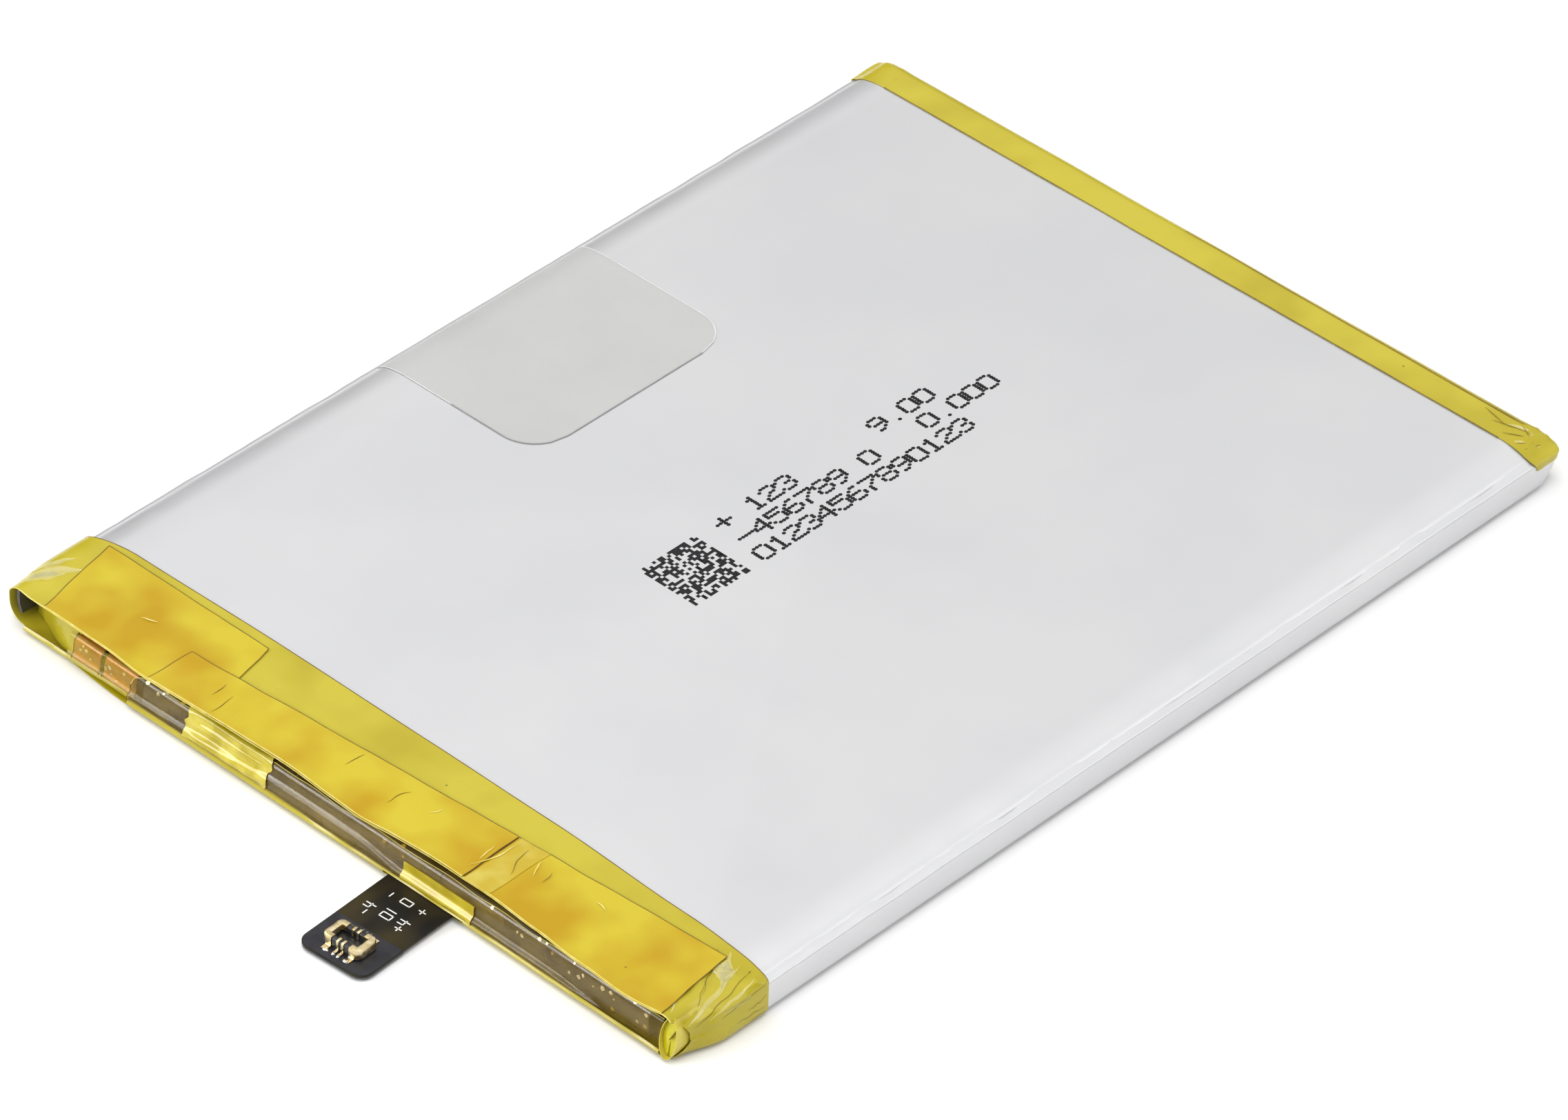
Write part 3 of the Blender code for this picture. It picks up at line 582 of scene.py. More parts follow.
def make_label():
    """A clear label over the left shoulder. Its cut edge is drawn as a painted highlight on one side and painted
    shade on the other.
    """
    lift = 0.035
    right, low, high = LABEL_HIGH.x, LABEL_LOW.y, LABEL_HIGH.y
    corner = 3.0
    middle = CUP_HALF - SHOULDER_SIDE
    across = [-middle - (SHOULDER_SIDE + lift) * math.cos(turn) for turn in quarter(18)[:-1]]
    across += spread(-middle, right, 40)
    rows = []
    for x in across:
        inset = 0.0
        if x > right - corner:
            inset = corner - math.sqrt(max(corner**2 - (x - right + corner) ** 2, 0.0))
        z = pouch_height(x, 0.0, lift)
        rows.append([(x, y, z) for y in spread(low + inset, high - inset, 24)])
    piece("label_film", sheet(rows, 0.03), "label_clear", ["clear_label"])
    near_side, far_side = (raised([row[end] for row in rows], 0.025) for end in (0, -1))
    right_side = [(right, y, TOP + 0.06) for y in spread(low + corner, high - corner, 12)]
    # The near edge's dark part is painted shade, and the rest of the edge is a painted highlight.
    shaded_rows = 16  # how far the dark part of the near edge reaches back from the rounded corner
    split = next(i for i, x in enumerate(across) if x > right - corner) - shaded_rows
    piece("label_edge_shade", strip(near_side[split:] + right_side, 0.07, 0.01), "label_edge_shade")
    light = [strip(near_side[: split + 1], 0.07, 0.01), strip(far_side, 0.06, 0.01)]
    piece("label_edge_highlight", together(light), "label_edge_highlight")


DIGITS = {
    "0": "01110 10001 10001 10001 10001 10001 01110",
    "1": "00100 01100 00100 00100 00100 00100 01110",
    "2": "01110 10001 00001 00110 01000 10000 11111",
    "3": "01110 10001 00001 00110 00001 10001 01110",
    "4": "00010 00110 01010 10010 11111 00010 00010",
    "5": "11111 10000 11110 00001 00001 10001 01110",
    "6": "00110 01000 10000 11110 10001 10001 01110",
    "7": "11111 00001 00010 00100 01000 01000 01000",
    "8": "01110 10001 10001 01110 10001 10001 01110",
    "9": "01110 10001 10001 01111 00001 00010 01100",
    "+": "00000 00100 00100 11111 00100 00100 00000",
    "-": "00000 00000 00000 11111 00000 00000 00000",
    ".": "00000 00000 00000 00000 00000 00000 00100",
    " ": "00000 00000 00000 00000 00000 00000 00000",
}
DOT_STEP = 0.284  # along the reading direction, which is +Y
DOT_ROW = 0.205
INK = 0.012


def inked(outline):
    """A thin flat body of ink on the printed face, inside an outline in plan."""
    low = TOP + 0.004
    return loft([[(x, y, z) for x, y in outline] for z in (low, low + INK)])


def dot(x, y, radius_x=0.125, radius_y=0.150, sides=10):
    turns = [2 * math.pi * i / sides for i in range(sides)]
    return inked([(x + radius_x * math.cos(turn), y + radius_y * math.sin(turn)) for turn in turns])


# Placeholder figures: the text, the height of its line in x, and where it starts in y.
PRINTED = (("+ 123", -2.1, -4.2), ("9.00", -2.1, 10.1), ("-456789 0", -0.15, -4.2), ("0.000", -0.15, 12.7),
           ("01234567890123", 1.8, -4.6))
DOT_SWAY = 0.012


def make_print():
    """Placeholder figures in dots, with the marks of the two poles, and a block pattern that says nothing."""
    random.seed(7)
    dots = []
    for text, middle_x, start_y in PRINTED:
        for place, mark in enumerate(text):
            for level, line in enumerate(DIGITS[mark].split()):
                for step in (step for step, filled in enumerate(line) if filled == "1"):
                    x = middle_x + (level - 3) * DOT_ROW + random.uniform(-DOT_SWAY, DOT_SWAY)
                    y = start_y + (place * 5 + step) * DOT_STEP + random.uniform(-DOT_SWAY, DOT_SWAY)
                    dots.append(dot(x, y))
    piece("printed_marks", together(dots), "ink")
    make_block_pattern()


def make_block_pattern():
    """A square of random cells, with no border and no corner marks."""
    cells, filled = 22, 0.52
    low_x, low_y, size = -2.45, -11.0, 5.0
    step = size / cells
    blocks = []
    for i in range(cells):
        for j in range(cells):
            if random.random() < filled:
                x, y = low_x + i * step, low_y + j * step
                blocks.append(inked([(x, y), (x + step, y), (x + step, y + step), (x, y + step)]))
    piece("printed_pattern", together(blocks), "ink")


# ---------------------------------------------------------------- tape at the far end

FAR_EDGE = 37.9
FAR_COVER = 0.12  # how far over the pouch the folds in the tape lie
FLAP_BOTTOM = 1.84
TAPE_LIFT = 0.045
FAR_SIDE, FAR_CORNER, FAR_STRAIGHT = 8, 16, 110  # points along each part of a row
FLAP_SETBACK = 12  # how many of a corner's points the flap below stands back from its side


def far_profile():
    """Rows from the tape's upper edge round the far side to its lower edge, each as (the outline's share,
    how far it is drawn in under the pouch, the share of the way to the tape's upper edge, height)."""
    top = TOP + TAPE_LIFT
    rows = [(0.0, 0.0, 1 - i / 4, top) for i in range(4)]
    rows += [(math.sin(turn), 0.0, 0.0, top - SHOULDER_DROP * (1 - math.cos(turn))) for turn in quarter(14)]
    rows += [(1.0, 0.0, 0.0, z) for z in (2.05, FLAP_BOTTOM, 1.4, 0.95, 0.5)]
    rows += [(1.0, 0.5 * (1 - math.cos(t)), 0.0, 0.45 - 0.495 * math.sin(t)) for t in quarter(5)[1:]]
    return rows + [(1.0, reach, 0.0, -0.045) for reach in (0.8, 1.3, 1.9, 2.4)]


def far_row(outline, drawn_in, to_edge, z):
    """One row of the far tape, from its left end round both corners to its right end."""
    half = CUP_HALF + (HALF - CUP_HALF) * smoothstep(FLAP_TOP + 0.3, FLAP_TOP, z) + TAPE_LIFT
    x, y = half - SHOULDER_SIDE, CUP_FAR + 0.1 + TAPE_LIFT - SHOULDER_END
    y += (FAR_EDGE + 0.02 - y) * to_edge
    reach_x = max(SHOULDER_SIDE * outline - drawn_in, 0.0)
    reach_y = SHOULDER_END * outline - drawn_in
    turns = [corner_turn(angle) for angle in quarter(FAR_CORNER)]
    row = [(-x - reach_x, b) for b in spread(far_edge(-1, z), y, FAR_SIDE)[:-1]]
    row += [(-x - reach_x * a, y + reach_y * b) for a, b in turns]
    row += [(a, y + reach_y) for a in spread(-x, x, FAR_STRAIGHT)[1:-1]]
    row += [(x + reach_x * a, y + reach_y * b) for a, b in reversed(turns)]
    row += [(x + reach_x, b) for b in spread(y, far_edge(1, z), FAR_SIDE)[1:]]
    return [(a, b, z) for a, b in row]


def far_edge(side, z):
    """Where the tape's near edge lies on a side. On the right it runs back down to the flap's point."""
    if side < 0:
        return FAR_EDGE
    return FAR_EDGE + 0.02 + 0.42 * smoothstep(TOP - 0.2, FLAP_BOTTOM, z)


def crumpled(point, centre, reach, depth, size, seed):
    """A point pushed about by sharp-crested noise near a centre."""
    gap = math.dist(point, centre)
    share = smoothstep(reach, 0.25 * reach, gap)
    if share == 0.0:
        return point
    crest = 1 - 2 * abs(drift(*point, size, seed))
    other = 1 - 2 * abs(drift(*point, 0.5 * size, seed + 4))
    push = depth * share * (crest + 0.5 * other)
    away = np.array(point) - np.array((centre[0] * 0.93, centre[1] - 2.0, centre[2] - 2.0))
    away /= np.linalg.norm(away)
    return tuple(np.array(point) + away * push)


# Painted shade in the creases of the far tape's crumpled right corner, in plan: where each starts and ends, and
# its width.
FAR_FOLD_SHADE = (
    ((25.6, 39.0), (28.3, 39.7), 0.08), ((26.9, 38.4), (28.5, 39.4), 0.07),
    ((27.4, 39.9), (29.0, 39.1), 0.08), ((28.9, 38.4), (29.2, 39.6), 0.08),
    ((28.2, 38.3), (28.7, 38.9), 0.06), ((24.4, 39.7), (26.5, 39.2), 0.06),
    ((29.35, 38.7), (29.45, 40.0), 0.07),
)
# Painted highlights on the same corner, listed the same way.
FAR_SHEEN = (
    ((28.3, 39.2), (28.8, 40.1), 0.75), ((29.0, 38.6), (29.3, 39.5), 0.42),
    ((26.6, 39.3), (28.0, 39.9), 0.40), ((28.0, 38.3), (28.7, 39.0), 0.35),
)


def on_far_corner(table, shape, lift, seed):
    """Lines of painted crease shade or patches of painted highlight laid on the tape's right corner, from a table
    of places in plan.
    """
    low_x, low_y, step = 23.0, 37.9, 0.1
    rows, columns = 68, 29
    plan = [[(low_x + step * i, low_y + step * j) for j in range(columns)] for i in range(rows)]
    grid = [[(x, y, pouch_height(x, y, FAR_COVER)) for x, y in row] for row in plan]
    laid = []
    for number, (start, end, width) in enumerate(table):
        ends = [((x - low_x) / step, (y - low_y) / step) for x, y in (start, end)]
        laid.append(shape(grid, *ends, width, lift, number + seed))
    return laid


def far_fold_shade(inset, width, low_x, high_x):
    """A long dark line of painted shade in a fold along the tape's far shoulder."""
    line = []
    for x in spread(low_x, high_x, 180):
        y = CUP_FAR - inset - 0.12 * smoothstep(0.0, 28.0, x) + 0.03 * drift(x, 0, 0, 3.0, inset * 9)
        line.append((x, y, pouch_height(x, y, FAR_COVER) + 0.035 * drift(x, y, 0.0, 5.0, 12.0)))
    return strip(line, width, 0.02)


def make_far_tape():
    profile = far_profile()
    right_corner, left_corner = ((side * (HALF - 0.6), CUP_FAR - 0.5, TOP - 0.4) for side in (1, -1))
    grid = []
    for values in profile:
        row = []
        for x, y, height in far_row(*values):
            rise = smoothstep(1.5, TOP, height)
            y += 0.03 * drift(x, 0.0, 0.0, 4.0, 1.0) * (values[2] > 0)
            height += 0.035 * drift(x, y, 0.0, 5.0, 12.0) * rise
            point = crumpled((x, y, height), right_corner, 3.0, 0.09, 1.1, 2.0)
            row.append(crumpled(point, left_corner, 2.6, 0.08, 1.5, 6.0))
        grid.append(row)
    flap_row = [values[3] for values in profile].index(FLAP_BOTTOM)
    beyond = FAR_SIDE + FLAP_SETBACK

    def keep(i, j):
        return i < flap_row or beyond <= j < len(grid[0]) - beyond

    piece("far_tape", sheet(grid, TAPE * 0.7, keep=keep), "tape_yellow", ["far_end_tape"])
    # A line of painted shade along the tape's edge on the pouch.
    line = [(x, y - 0.015, z + 0.035) for x, y, z in grid[0]]
    piece("far_tape_edge", strip(line, 0.045, 0.012), "tape_edge_shade")
    shaded_folds = [far_fold_shade(0.28, 0.05, -28.8, 29.0), far_fold_shade(0.52, 0.13, -2.0, 28.4)]
    piece("far_tape_fold_shade", together(shaded_folds + on_far_corner(FAR_FOLD_SHADE, crease, 0.02, 0.5)), "tape_fold_shade")
    piece("far_tape_sheen", together(on_far_corner(FAR_SHEEN, glow, 0.0, 4.5)), "tape_sheen")


# ---------------------------------------------------------------- tape at the near end

# The sleeve's free upper edge along the front, and its edge on the pouch: (x, y) pairs.
FREE_EDGE = (
    (-29.4, -39.7), (-27.0, -39.95), (-23.4, -40.0), (-16.6, -40.15), (-9.0, -40.05), (-4.0, -40.0),
    (1.8, -40.2), (5.0, -39.95), (13.0, -39.92), (17.3, -40.1), (21.0, -40.35), (25.0, -40.5), (29.4, -40.1),
)
POUCH_EDGE = (
    (-30.0, -32.9), (-25.7, -32.37), (-13.0, -32.22), (0.0, -32.3), (11.0, -32.4), (23.0, -32.8),
    (30.0, -33.2),
)
# The height of the free edge: (x, z) pairs.
FREE_HEIGHT = (
    (-29.4, 2.95), (-25.0, 3.08), (-20.0, 3.0), (-17.0, 2.86), (-12.0, 3.05), (-6.0, 3.1), (0.0, 2.95),
    (3.5, 2.86), (8.0, 3.08), (12.5, 3.12), (17.0, 3.0), (21.0, 2.9), (25.0, 2.86), (29.4, 2.9),
)
SLEEVE_TOP = TOP + 0.07
SLEEVE_BOTTOM = -0.07
LOOP_LEFT = 29.98
LOOP_RIGHT = 29.45


def sleeve_share(y):
    """0 on the pouch, 1 at the sleeve's open front."""
    return smoothstep(CUP_NEAR + 0.3, -40.2, y)


def sleeve_top(x, y):
    """The height of the sleeve's upper side, away from its rounded sides."""
    level = SLEEVE_TOP + (along(FREE_HEIGHT, x) - SLEEVE_TOP) * smoothstep(CUP_NEAR - 0.4, -39.9, y)
    swell = 0.11 * drift(x, y, 0.0, 5.5, 4.0) + 0.045 * drift(x, 0.6 * y, 0.0, 2.4, 7.0)
    return level + swell * smoothstep(-32.6, -35.5, y)


def sleeve_half(side, y):
    front = LOOP_LEFT if side < 0 else LOOP_RIGHT
    return HALF + 0.05 + (front - HALF - 0.05) * sleeve_share(y)


def shoulder(y):
    """(reach, depth) of the sleeve's upper rounding."""
    share = sleeve_share(y)
    reach = SHOULDER_SIDE + (1.5 - SHOULDER_SIDE) * share
    depth = SHOULDER_DROP + (1.45 - SHOULDER_DROP) * share
    return reach, depth


def tape_height(x, y):
    """The sleeve's upper side, with its rounded sides."""
    side = -1 if x < 0 else 1
    reach, depth = shoulder(y)
    u = min(max(0.0, abs(x) - (sleeve_half(side, y) - reach)) / reach, 1.0)
    return sleeve_top(x, y) - depth * (1 - math.sqrt(1 - u * u))


def upper_rounding(side, share_of_y, turn):
    """(x, z) on a side's upper rounding. The turn is 90 degrees where it meets the flat top."""
    x_guess = side * 29.0
    front, back = along(FREE_EDGE, x_guess), along(POUCH_EDGE, x_guess)
    y = back + (front - back) * share_of_y
    reach, depth = shoulder(y)
    start = sleeve_half(side, y) - reach
    return side * (start + reach * math.cos(turn)), sleeve_top(side * start, y) - depth * (1 - math.sin(turn))


def side_front(side, z):
    """The open edge's place down a side."""
    if side < 0:
        return -39.45 - 0.3 * smoothstep(1.5, 2.9, z)
    return -39.3 - 0.6 * smoothstep(1.5, 2.9, z) - 1.1 * smoothstep(1.0, 0.0, z)


def sleeve_side(side, share_of_y):
    """A side of the sleeve's ring from the bottom up, as (x, z, the open front's y there)."""
    reach = 0.5 + 0.8 * smoothstep(0.45, 1.0, share_of_y)
    half = sleeve_half(side, -32.5 - 7.0 * share_of_y)
    turns = quarter(6)
    points = []
    for turn in turns:
        x = side * (half - reach + reach * math.sin(turn))
        points.append((x, SLEEVE_BOTTOM + reach * (1 - math.cos(turn))))
    wall_x, wall_top = upper_rounding(side, share_of_y, 0.0)
    if side < 0:
        wall_x = -half
    points += [(wall_x, z) for z in spread(points[-1][1], wall_top, 3)[1:-1]]
    upper = [upper_rounding(side, share_of_y, turn) for turn in turns]
    lower = [(x, z, side_front(side, z)) for x, z in points + upper[:4]]
    return lower + [(x, z, along(FREE_EDGE, x)) for x, z in upper[4:]]


def sleeve_section(share_of_y):
    """One closed ring of the sleeve. share_of_y is 0 at its edge on the pouch and 1 at its front."""
    right, left = (sleeve_side(side, share_of_y) for side in (1, -1))
    top = []
    for x in spread(right[-1][0], left[-1][0], 70)[1:-1]:
        back, front = along(POUCH_EDGE, x), along(FREE_EDGE, x)
        top.append((x, sleeve_top(x, back + (front - back) * share_of_y), front))
    under = []
    for x in spread(left[0][0], right[0][0], 70)[1:-1]:
        under.append((x, SLEEVE_BOTTOM, -39.55 - 0.75 * smoothstep(-28.5, -18.0, x)))
    ring = []
    for x, z, front in right + top + left[::-1] + under:
        back = along(POUCH_EDGE, x)
        ring.append((x, back + (front - back) * share_of_y, z))
    return ring


# Creases that run back along the right side from the open corner to the pouch: height there, height
# at the pouch, and how far each stands out.
SIDE_CREASES = ((2.2, 2.75, 0.22), (1.7, 1.9, 0.17), (2.6, 3.0, -0.12), (1.2, 0.9, 0.10))


def crease_push(x, y, z):
    """How far the right side's creases push the tape out."""
    if x < HALF - 3.4:
        return 0.0
    share = smoothstep(-33.2, -40.0, y)
    push = 0.0
    for near_z, far_z, height in SIDE_CREASES:
        ridge = far_z + (near_z - far_z) * share + 0.16 * drift(x, y, 0.0, 1.7, height * 40)
        push += height * math.exp(-((z - ridge) / 0.14) ** 2)
    push += 0.20 * drift(x, y, z, 1.2, 15.0) * (1 - abs(2 * share - 1) * 0.5)
    return push * smoothstep(0.2, 0.8, z) * smoothstep(-33.0, -33.9, y)


# Painted highlights and painted shade in the folds, on the sleeve's crumpled sides, the right with low rows and
# the left with high ones: (row, share of the way from the pouch to the front) at each end, and the width.
SIDE_SHEEN = (
    ((13.6, 0.12), (11.2, 0.97), 0.34), ((11.4, 0.10), (9.9, 0.74), 0.22),
    ((15.4, 0.05), (12.8, 0.42), 0.42), ((17.5, 0.40), (14.4, 0.93), 0.30),
    ((9.3, 0.22), (9.0, 0.60), 0.16), ((88.4, 0.86), (84.4, 0.44), 1.0),
    ((15.0, 0.16), (13.2, 0.34), 1.3), ((87.4, 0.92), (85.0, 0.58), 0.9),
    ((89.3, 0.74), (86.2, 0.36), 0.7),
)
SIDE_FOLD_SHADE = (
    ((12.5, 0.05), (10.4, 0.92), 0.055), ((9.6, 0.04), (8.6, 0.62), 0.045),
    ((16.4, 0.10), (13.4, 0.60), 0.05), ((6.6, 0.05), (6.9, 0.45), 0.035),
    ((7.9, 0.03), (7.4, 0.30), 0.035), ((19.5, 0.45), (15.2, 0.97), 0.045),
    ((14.6, 0.45), (12.0, 0.80), 0.04), ((5.4, 0.03), (5.8, 0.25), 0.03),
)


def make_side_creases(grid):
    """Painted highlights on the crests where the crumpled sides shine, and painted shade in the hollows between
    them.
    """
    columns = len(grid[0]) - 1
    for name, table, finish, lift, shape in (
        ("sheen", SIDE_SHEEN, "tape_sheen", 0.05, glow),
        ("shaded_folds", SIDE_FOLD_SHADE, "tape_fold_shade", 0.06, crease),
    ):
        lines = []
        for number, (start, end, width) in enumerate(table):
            ends = [(row, share * columns) for row, share in (start, end)]
            lines.append(shape(grid, *ends, width, lift, number + 1.5))
        piece(f"sleeve_{name}", together(lines), finish)


def make_sleeve():
    sections = [sleeve_section(share) for share in spread(0, 1, 44)]
    grid = [[section[i] for section in sections] for i in range(len(sections[0]))]
    for row in grid:
        for j, (x, y, z) in enumerate(row):
            push = crease_push(x, y, z)
            row[j] = (x + push * 0.8, y, z + push * 0.6 * smoothstep(1.0, 2.6, z))
    shape = sheet(grid, TAPE * 0.7, wrap=True)
    piece("near_sleeve", shape, "tape_yellow", ["near_end_sleeve"])
    make_side_creases(grid)
    # Painted shade along the sleeve's edge on the pouch, and a painted highlight along its free edge.
    on_pouch = [(x, y + 0.01, z + 0.035) for x, y, z in (row[0] for row in grid) if z > 2.2]
    piece("sleeve_edge", strip(on_pouch, 0.06, 0.012), "tape_edge_shade")
    front = [(x, y - 0.02, z + 0.045) for x, y, z in (row[-1] for row in grid) if z > 2.6]
    piece("sleeve_free_edge", strip(front, 0.09, 0.03), "tape_edge_highlight")


# ---------------------------------------------------------------- amber tapes

# Each tape's corners in plan: far left, far right, front right, front left.
AMBER_STRIPS = {
    "left": ((-27.6, -33.0), (-13.1, -33.05), (-11.5, -40.0), (-26.2, -39.95)),
    "middle": ((-16.2, -36.7), (10.7, -34.95), (10.8, -40.0), (-16.6, -40.1)),
    "right": ((10.75, -34.9), (27.3, -33.95), (27.9, -40.4), (10.85, -40.0)),
}
AMBER_LIFT = {"left": 0.075, "middle": 0.145, "right": 0.10}


def patch(corners, lift, rows, columns, wobble=0.05, seed=1.0):
    """A grid over the sleeve's top, inside four corners in plan. Its front runs along the free edge."""
    far_left, far_right, front_right, front_left = corners
    grid = []
    for i, share in enumerate(spread(0, 1, rows)):
        back = [far_left[k] + (far_right[k] - far_left[k]) * share for k in (0, 1)]
        front_x = front_left[0] + (front_right[0] - front_left[0]) * share
        front_y = along(FREE_EDGE, front_x) + 0.01
        back[1] += wobble * drift(back[0], 0.0, 0.0, 2.5, seed)
        row = []
        for part in spread(0, 1, columns):
            x = back[0] + (front_x - back[0]) * part
            y = back[1] + (front_y - back[1]) * part
            if i in (0, rows):
                x += wobble * drift(0.0, y, 0.0, 1.8, seed + 3)
            row.append((x, y, tape_height(x, y) + lift))
        grid.append(row)
    return grid


# A pale band of painted highlight, glare on the right tape's end over the middle one, in the same order of
# corners.
GLARE_BAND = ((10.95, -34.95), (13.2, -34.8), (13.1, -40.0), (11.0, -40.0))


def make_amber():
    band = patch(GLARE_BAND, 0.15, 20, 26, seed=9.0)
    piece("amber_glare_band", sheet(band, 0.02), "tape_pale_glare")
    shaded_outlines, highlights = [], []
    for number, (name, corners) in enumerate(AMBER_STRIPS.items()):
        width = corners[1][0] - corners[0][0]
        grid = patch(corners, AMBER_LIFT[name], max(int(width * 4), 20), 26, seed=number + 1.0)
        piece(f"amber_{name}", sheet(grid, 0.04), "tape_amber", [f"amber_strip_{name}"])
        right_width = 0.06 if name == "right" else 0.045
        # Lines of painted shade along each tape's edges, and a painted highlight along its front edge.
        for edge, thick in (([row[0] for row in grid], 0.045), (grid[-1], right_width), (grid[0], 0.05)):
            shaded_outlines.append(strip(raised(edge, 0.03), thick, 0.01))
        highlights.append(strip(raised([row[-1] for row in grid], 0.02), 0.07, 0.03))
    piece("amber_edges", together(shaded_outlines), "tape_edge_shade")
    piece("amber_front_edges", together(highlights), "tape_edge_highlight")
    make_creases()


# Where each small crease starts, in x and y, its heading in degrees, its length, and if it is a line of painted
# shade rather than of painted highlight.
TOP_CREASES = (
    (-1.7, -37.6, 78, 1.5, True), (2.6, -38.2, 80, 1.7, True), (12.0, -35.4, -84, 2.6, True),
    (13.3, -35.6, -76, 1.5, False), (11.2, -35.5, -88, 3.6, False), (10.3, -36.6, -80, 1.6, False),
    (14.5, -35.9, -60, 1.1, True), (-12.4, -38.6, 84, 1.2, True), (-11.3, -37.9, -84, 1.9, True),
    (18.3, -36.0, 12, 1.0, False), (-20.9, -36.6, 25, 1.2, False), (5.2, -37.2, 30, 0.9, False),
)


def make_creases():
    """Small sharp creases in the top tapes: listed places, each a short wandering line."""
    random.seed(11)
    lines = {True: [], False: []}
    steps = 14
    for x, y, heading, length, dark in TOP_CREASES:
        turn = math.radians(heading)
        points = []
        for _ in range(steps + 1):
            points.append((x, y, tape_height(x, y) + 0.19))
            turn += random.uniform(-0.16, 0.16)
            x += length / steps * math.cos(turn)
            y += length / steps * math.sin(turn)
        lines[dark].append(strip(points, 0.045 if dark else 0.09, 0.012, taper=True))
    # These are painted shade and painted highlights along the creases.
    piece("tape_crease_shade", together(lines[True]), "tape_edge_shade")
    piece("tape_crease_highlight", together(lines[False]), "tape_edge_highlight")


# ---------------------------------------------------------------- along the front

ROLL_Z = 1.36
ROLL_RADIUS = 1.0
ROLL_Y = -39.32
BAND_PLACES = (6.0, 12.1)
WRINKLED_PLACES = (-13.1, -5.7)
PAD_PLACES = ((-23.5, -21.05), (-20.75, -17.8))
TAIL_WAY = (4.6, 11.4)  # where the lower tape stands clear of the tail

# Where the upper part of the roll steps back behind its lower part: (place, height), and by what share.
STEP_HEIGHT = ((-18.0, 1.0), (-4.0, 1.5), (2.0, 1.42), (6.0, 0.9), (18.0, 0.82), (24.0, 0.42), (28.0, 0.35))
STEP = 0.28


def front_line(x):
    """How far forward the front's pieces stand, against their place at the middle."""
    return -0.12 * smoothstep(8.0, 27.0, x)


def fullness(upward):
    """The power of the roll's outline: 2 would be round. Its lower part is fuller."""
    return 2.4 + 3.2 * smoothstep(0.1, -0.4, upward)


def round_front(x, radius, angle):
    """A point round the roll: 90 degrees is its top and 180 its foremost line. It is fuller below."""
    turn = math.radians(angle)
    upward = math.sin(turn)
    power = fullness(upward)
    across = math.copysign(max(1 - abs(upward) ** power, 0.0) ** (1 / power), math.cos(turn))
    z = ROLL_Z + radius * upward
    middle = along(STEP_HEIGHT, x)
    step = STEP * smoothstep(middle - 0.26, middle + 0.26, z)
    return (x, ROLL_Y + front_line(x) + radius * across * (1 - step), z)


def rolled(x, angles, lift_at, sway_at=lambda angle: 0.0):
    """A row of points round the roll. lift_at(x, angle) is how far off the roll each lies, and
    sway_at(angle) how far it strays along x."""
    return [round_front(x + sway_at(angle), ROLL_RADIUS + lift_at(x, angle), angle) for angle in angles]


def row_ends(name, grid, width, thickness):
    """Dark lines of painted shade at both ends of a tape that is wrapped on the roll."""
    ends = [strip(row, width, thickness, (1, 0, 0)) for row in (grid[0], grid[-1])]
    piece(name, together(ends), "tape_edge_shade")


def make_rolls():
    for side, low, high in (("left", ROLL_LOW.x - 0.2, 8.98), ("right", 9.02, ROLL_HIGH.x)):
        grid = []
        for x in spread(low, high, int((high - low) * 5)):
            wave = 0.03 * drift(x, 0.0, 0.0, 3.0, 1.0)
            flat_y = ROLL_Y + front_line(x) + 1.9
            row = [(x, flat_y - 0.3 * k, ROLL_Z + ROLL_RADIUS + wave) for k in range(6)]
            row += rolled(x, range(90, 271, 9), lambda x, a: wave + 0.03 * drift(x, a * 0.02, 0.0, 3.0, 6.0))
            grid.append(row)
        piece(f"flex_roll_{side}", sheet(grid, 0.11), "roll_film", [f"flex_fold_{side}"])


def make_copper_pads():
    """Two bare pads of the circuit at the left, curled round the front like the roll."""

    def lift_at(x, angle):
        return 0.03 * drift(x, 0.01 * angle, 0, 0.8, 2.0) - 0.14

    pads, rims = [], []
    for ends in PAD_PLACES:
        pads.append(sheet([rolled(x, range(75, 226, 6), lift_at) for x in spread(*ends, 12)], 0.08))
        for x in ends:
            line = [round_front(x, 0.92, angle) for angle in range(80, 226, 5)]
            rims.append(strip(line, 0.10, 0.02, (1, 0, 0)))
    piece("copper_pads", together(pads), "copper")
    # The rims are painted shade along the pads' ends.
    piece("copper_pad_rims", together(rims), "tape_edge_shade")


# Crumbs on the pads: (x, angle) pairs.
PAD_FLECKS = (
    (-22.9, 170), (-22.4, 158), (-22.7, 145), (-20.6, 178), (-20.1, 190), (-20.2, 165), (-19.0, 150),
    (-22.0, 185),
)


def make_gold_flecks():
    """Crumbs of solder and gilded marks on the pads and on the roll."""
    random.seed(23)
    places = [(x, angle, 0.93) for x, angle in PAD_FLECKS]
    for count, ends, angles in ((16, (13.0, 27.0), (120, 195)), (4, (-17.5, -14.0), (110, 150))):
        for _ in range(count):
            places.append((random.uniform(*ends), random.uniform(*angles), ROLL_RADIUS + 0.10))
    flecks = []
    for x, angle, radius in places:
        size = random.uniform(0.08, 0.2)
        spin = random.uniform(0, math.pi)
        ring = []
        for corner in range(5):
            turn = spin + 2 * math.pi * corner / 5
            reach = size * random.uniform(0.6, 1.2)
            ring.append((x + reach * math.cos(turn), angle + math.degrees(reach * math.sin(turn) / radius)))
        flecks.append(loft([[round_front(a, radius + lift, b) for a, b in ring] for lift in (0.0, 0.02)]))
    piece("gold_flecks", together(flecks), "gilding")


def lip_height(x):
    level = 0.42 + 0.16 * smoothstep(2.0, -8.0, x) - 0.12 * smoothstep(-17.5, -18.6, x)
    return level + 0.04 * drift(x, 0, 0, 2.0, 3.0)


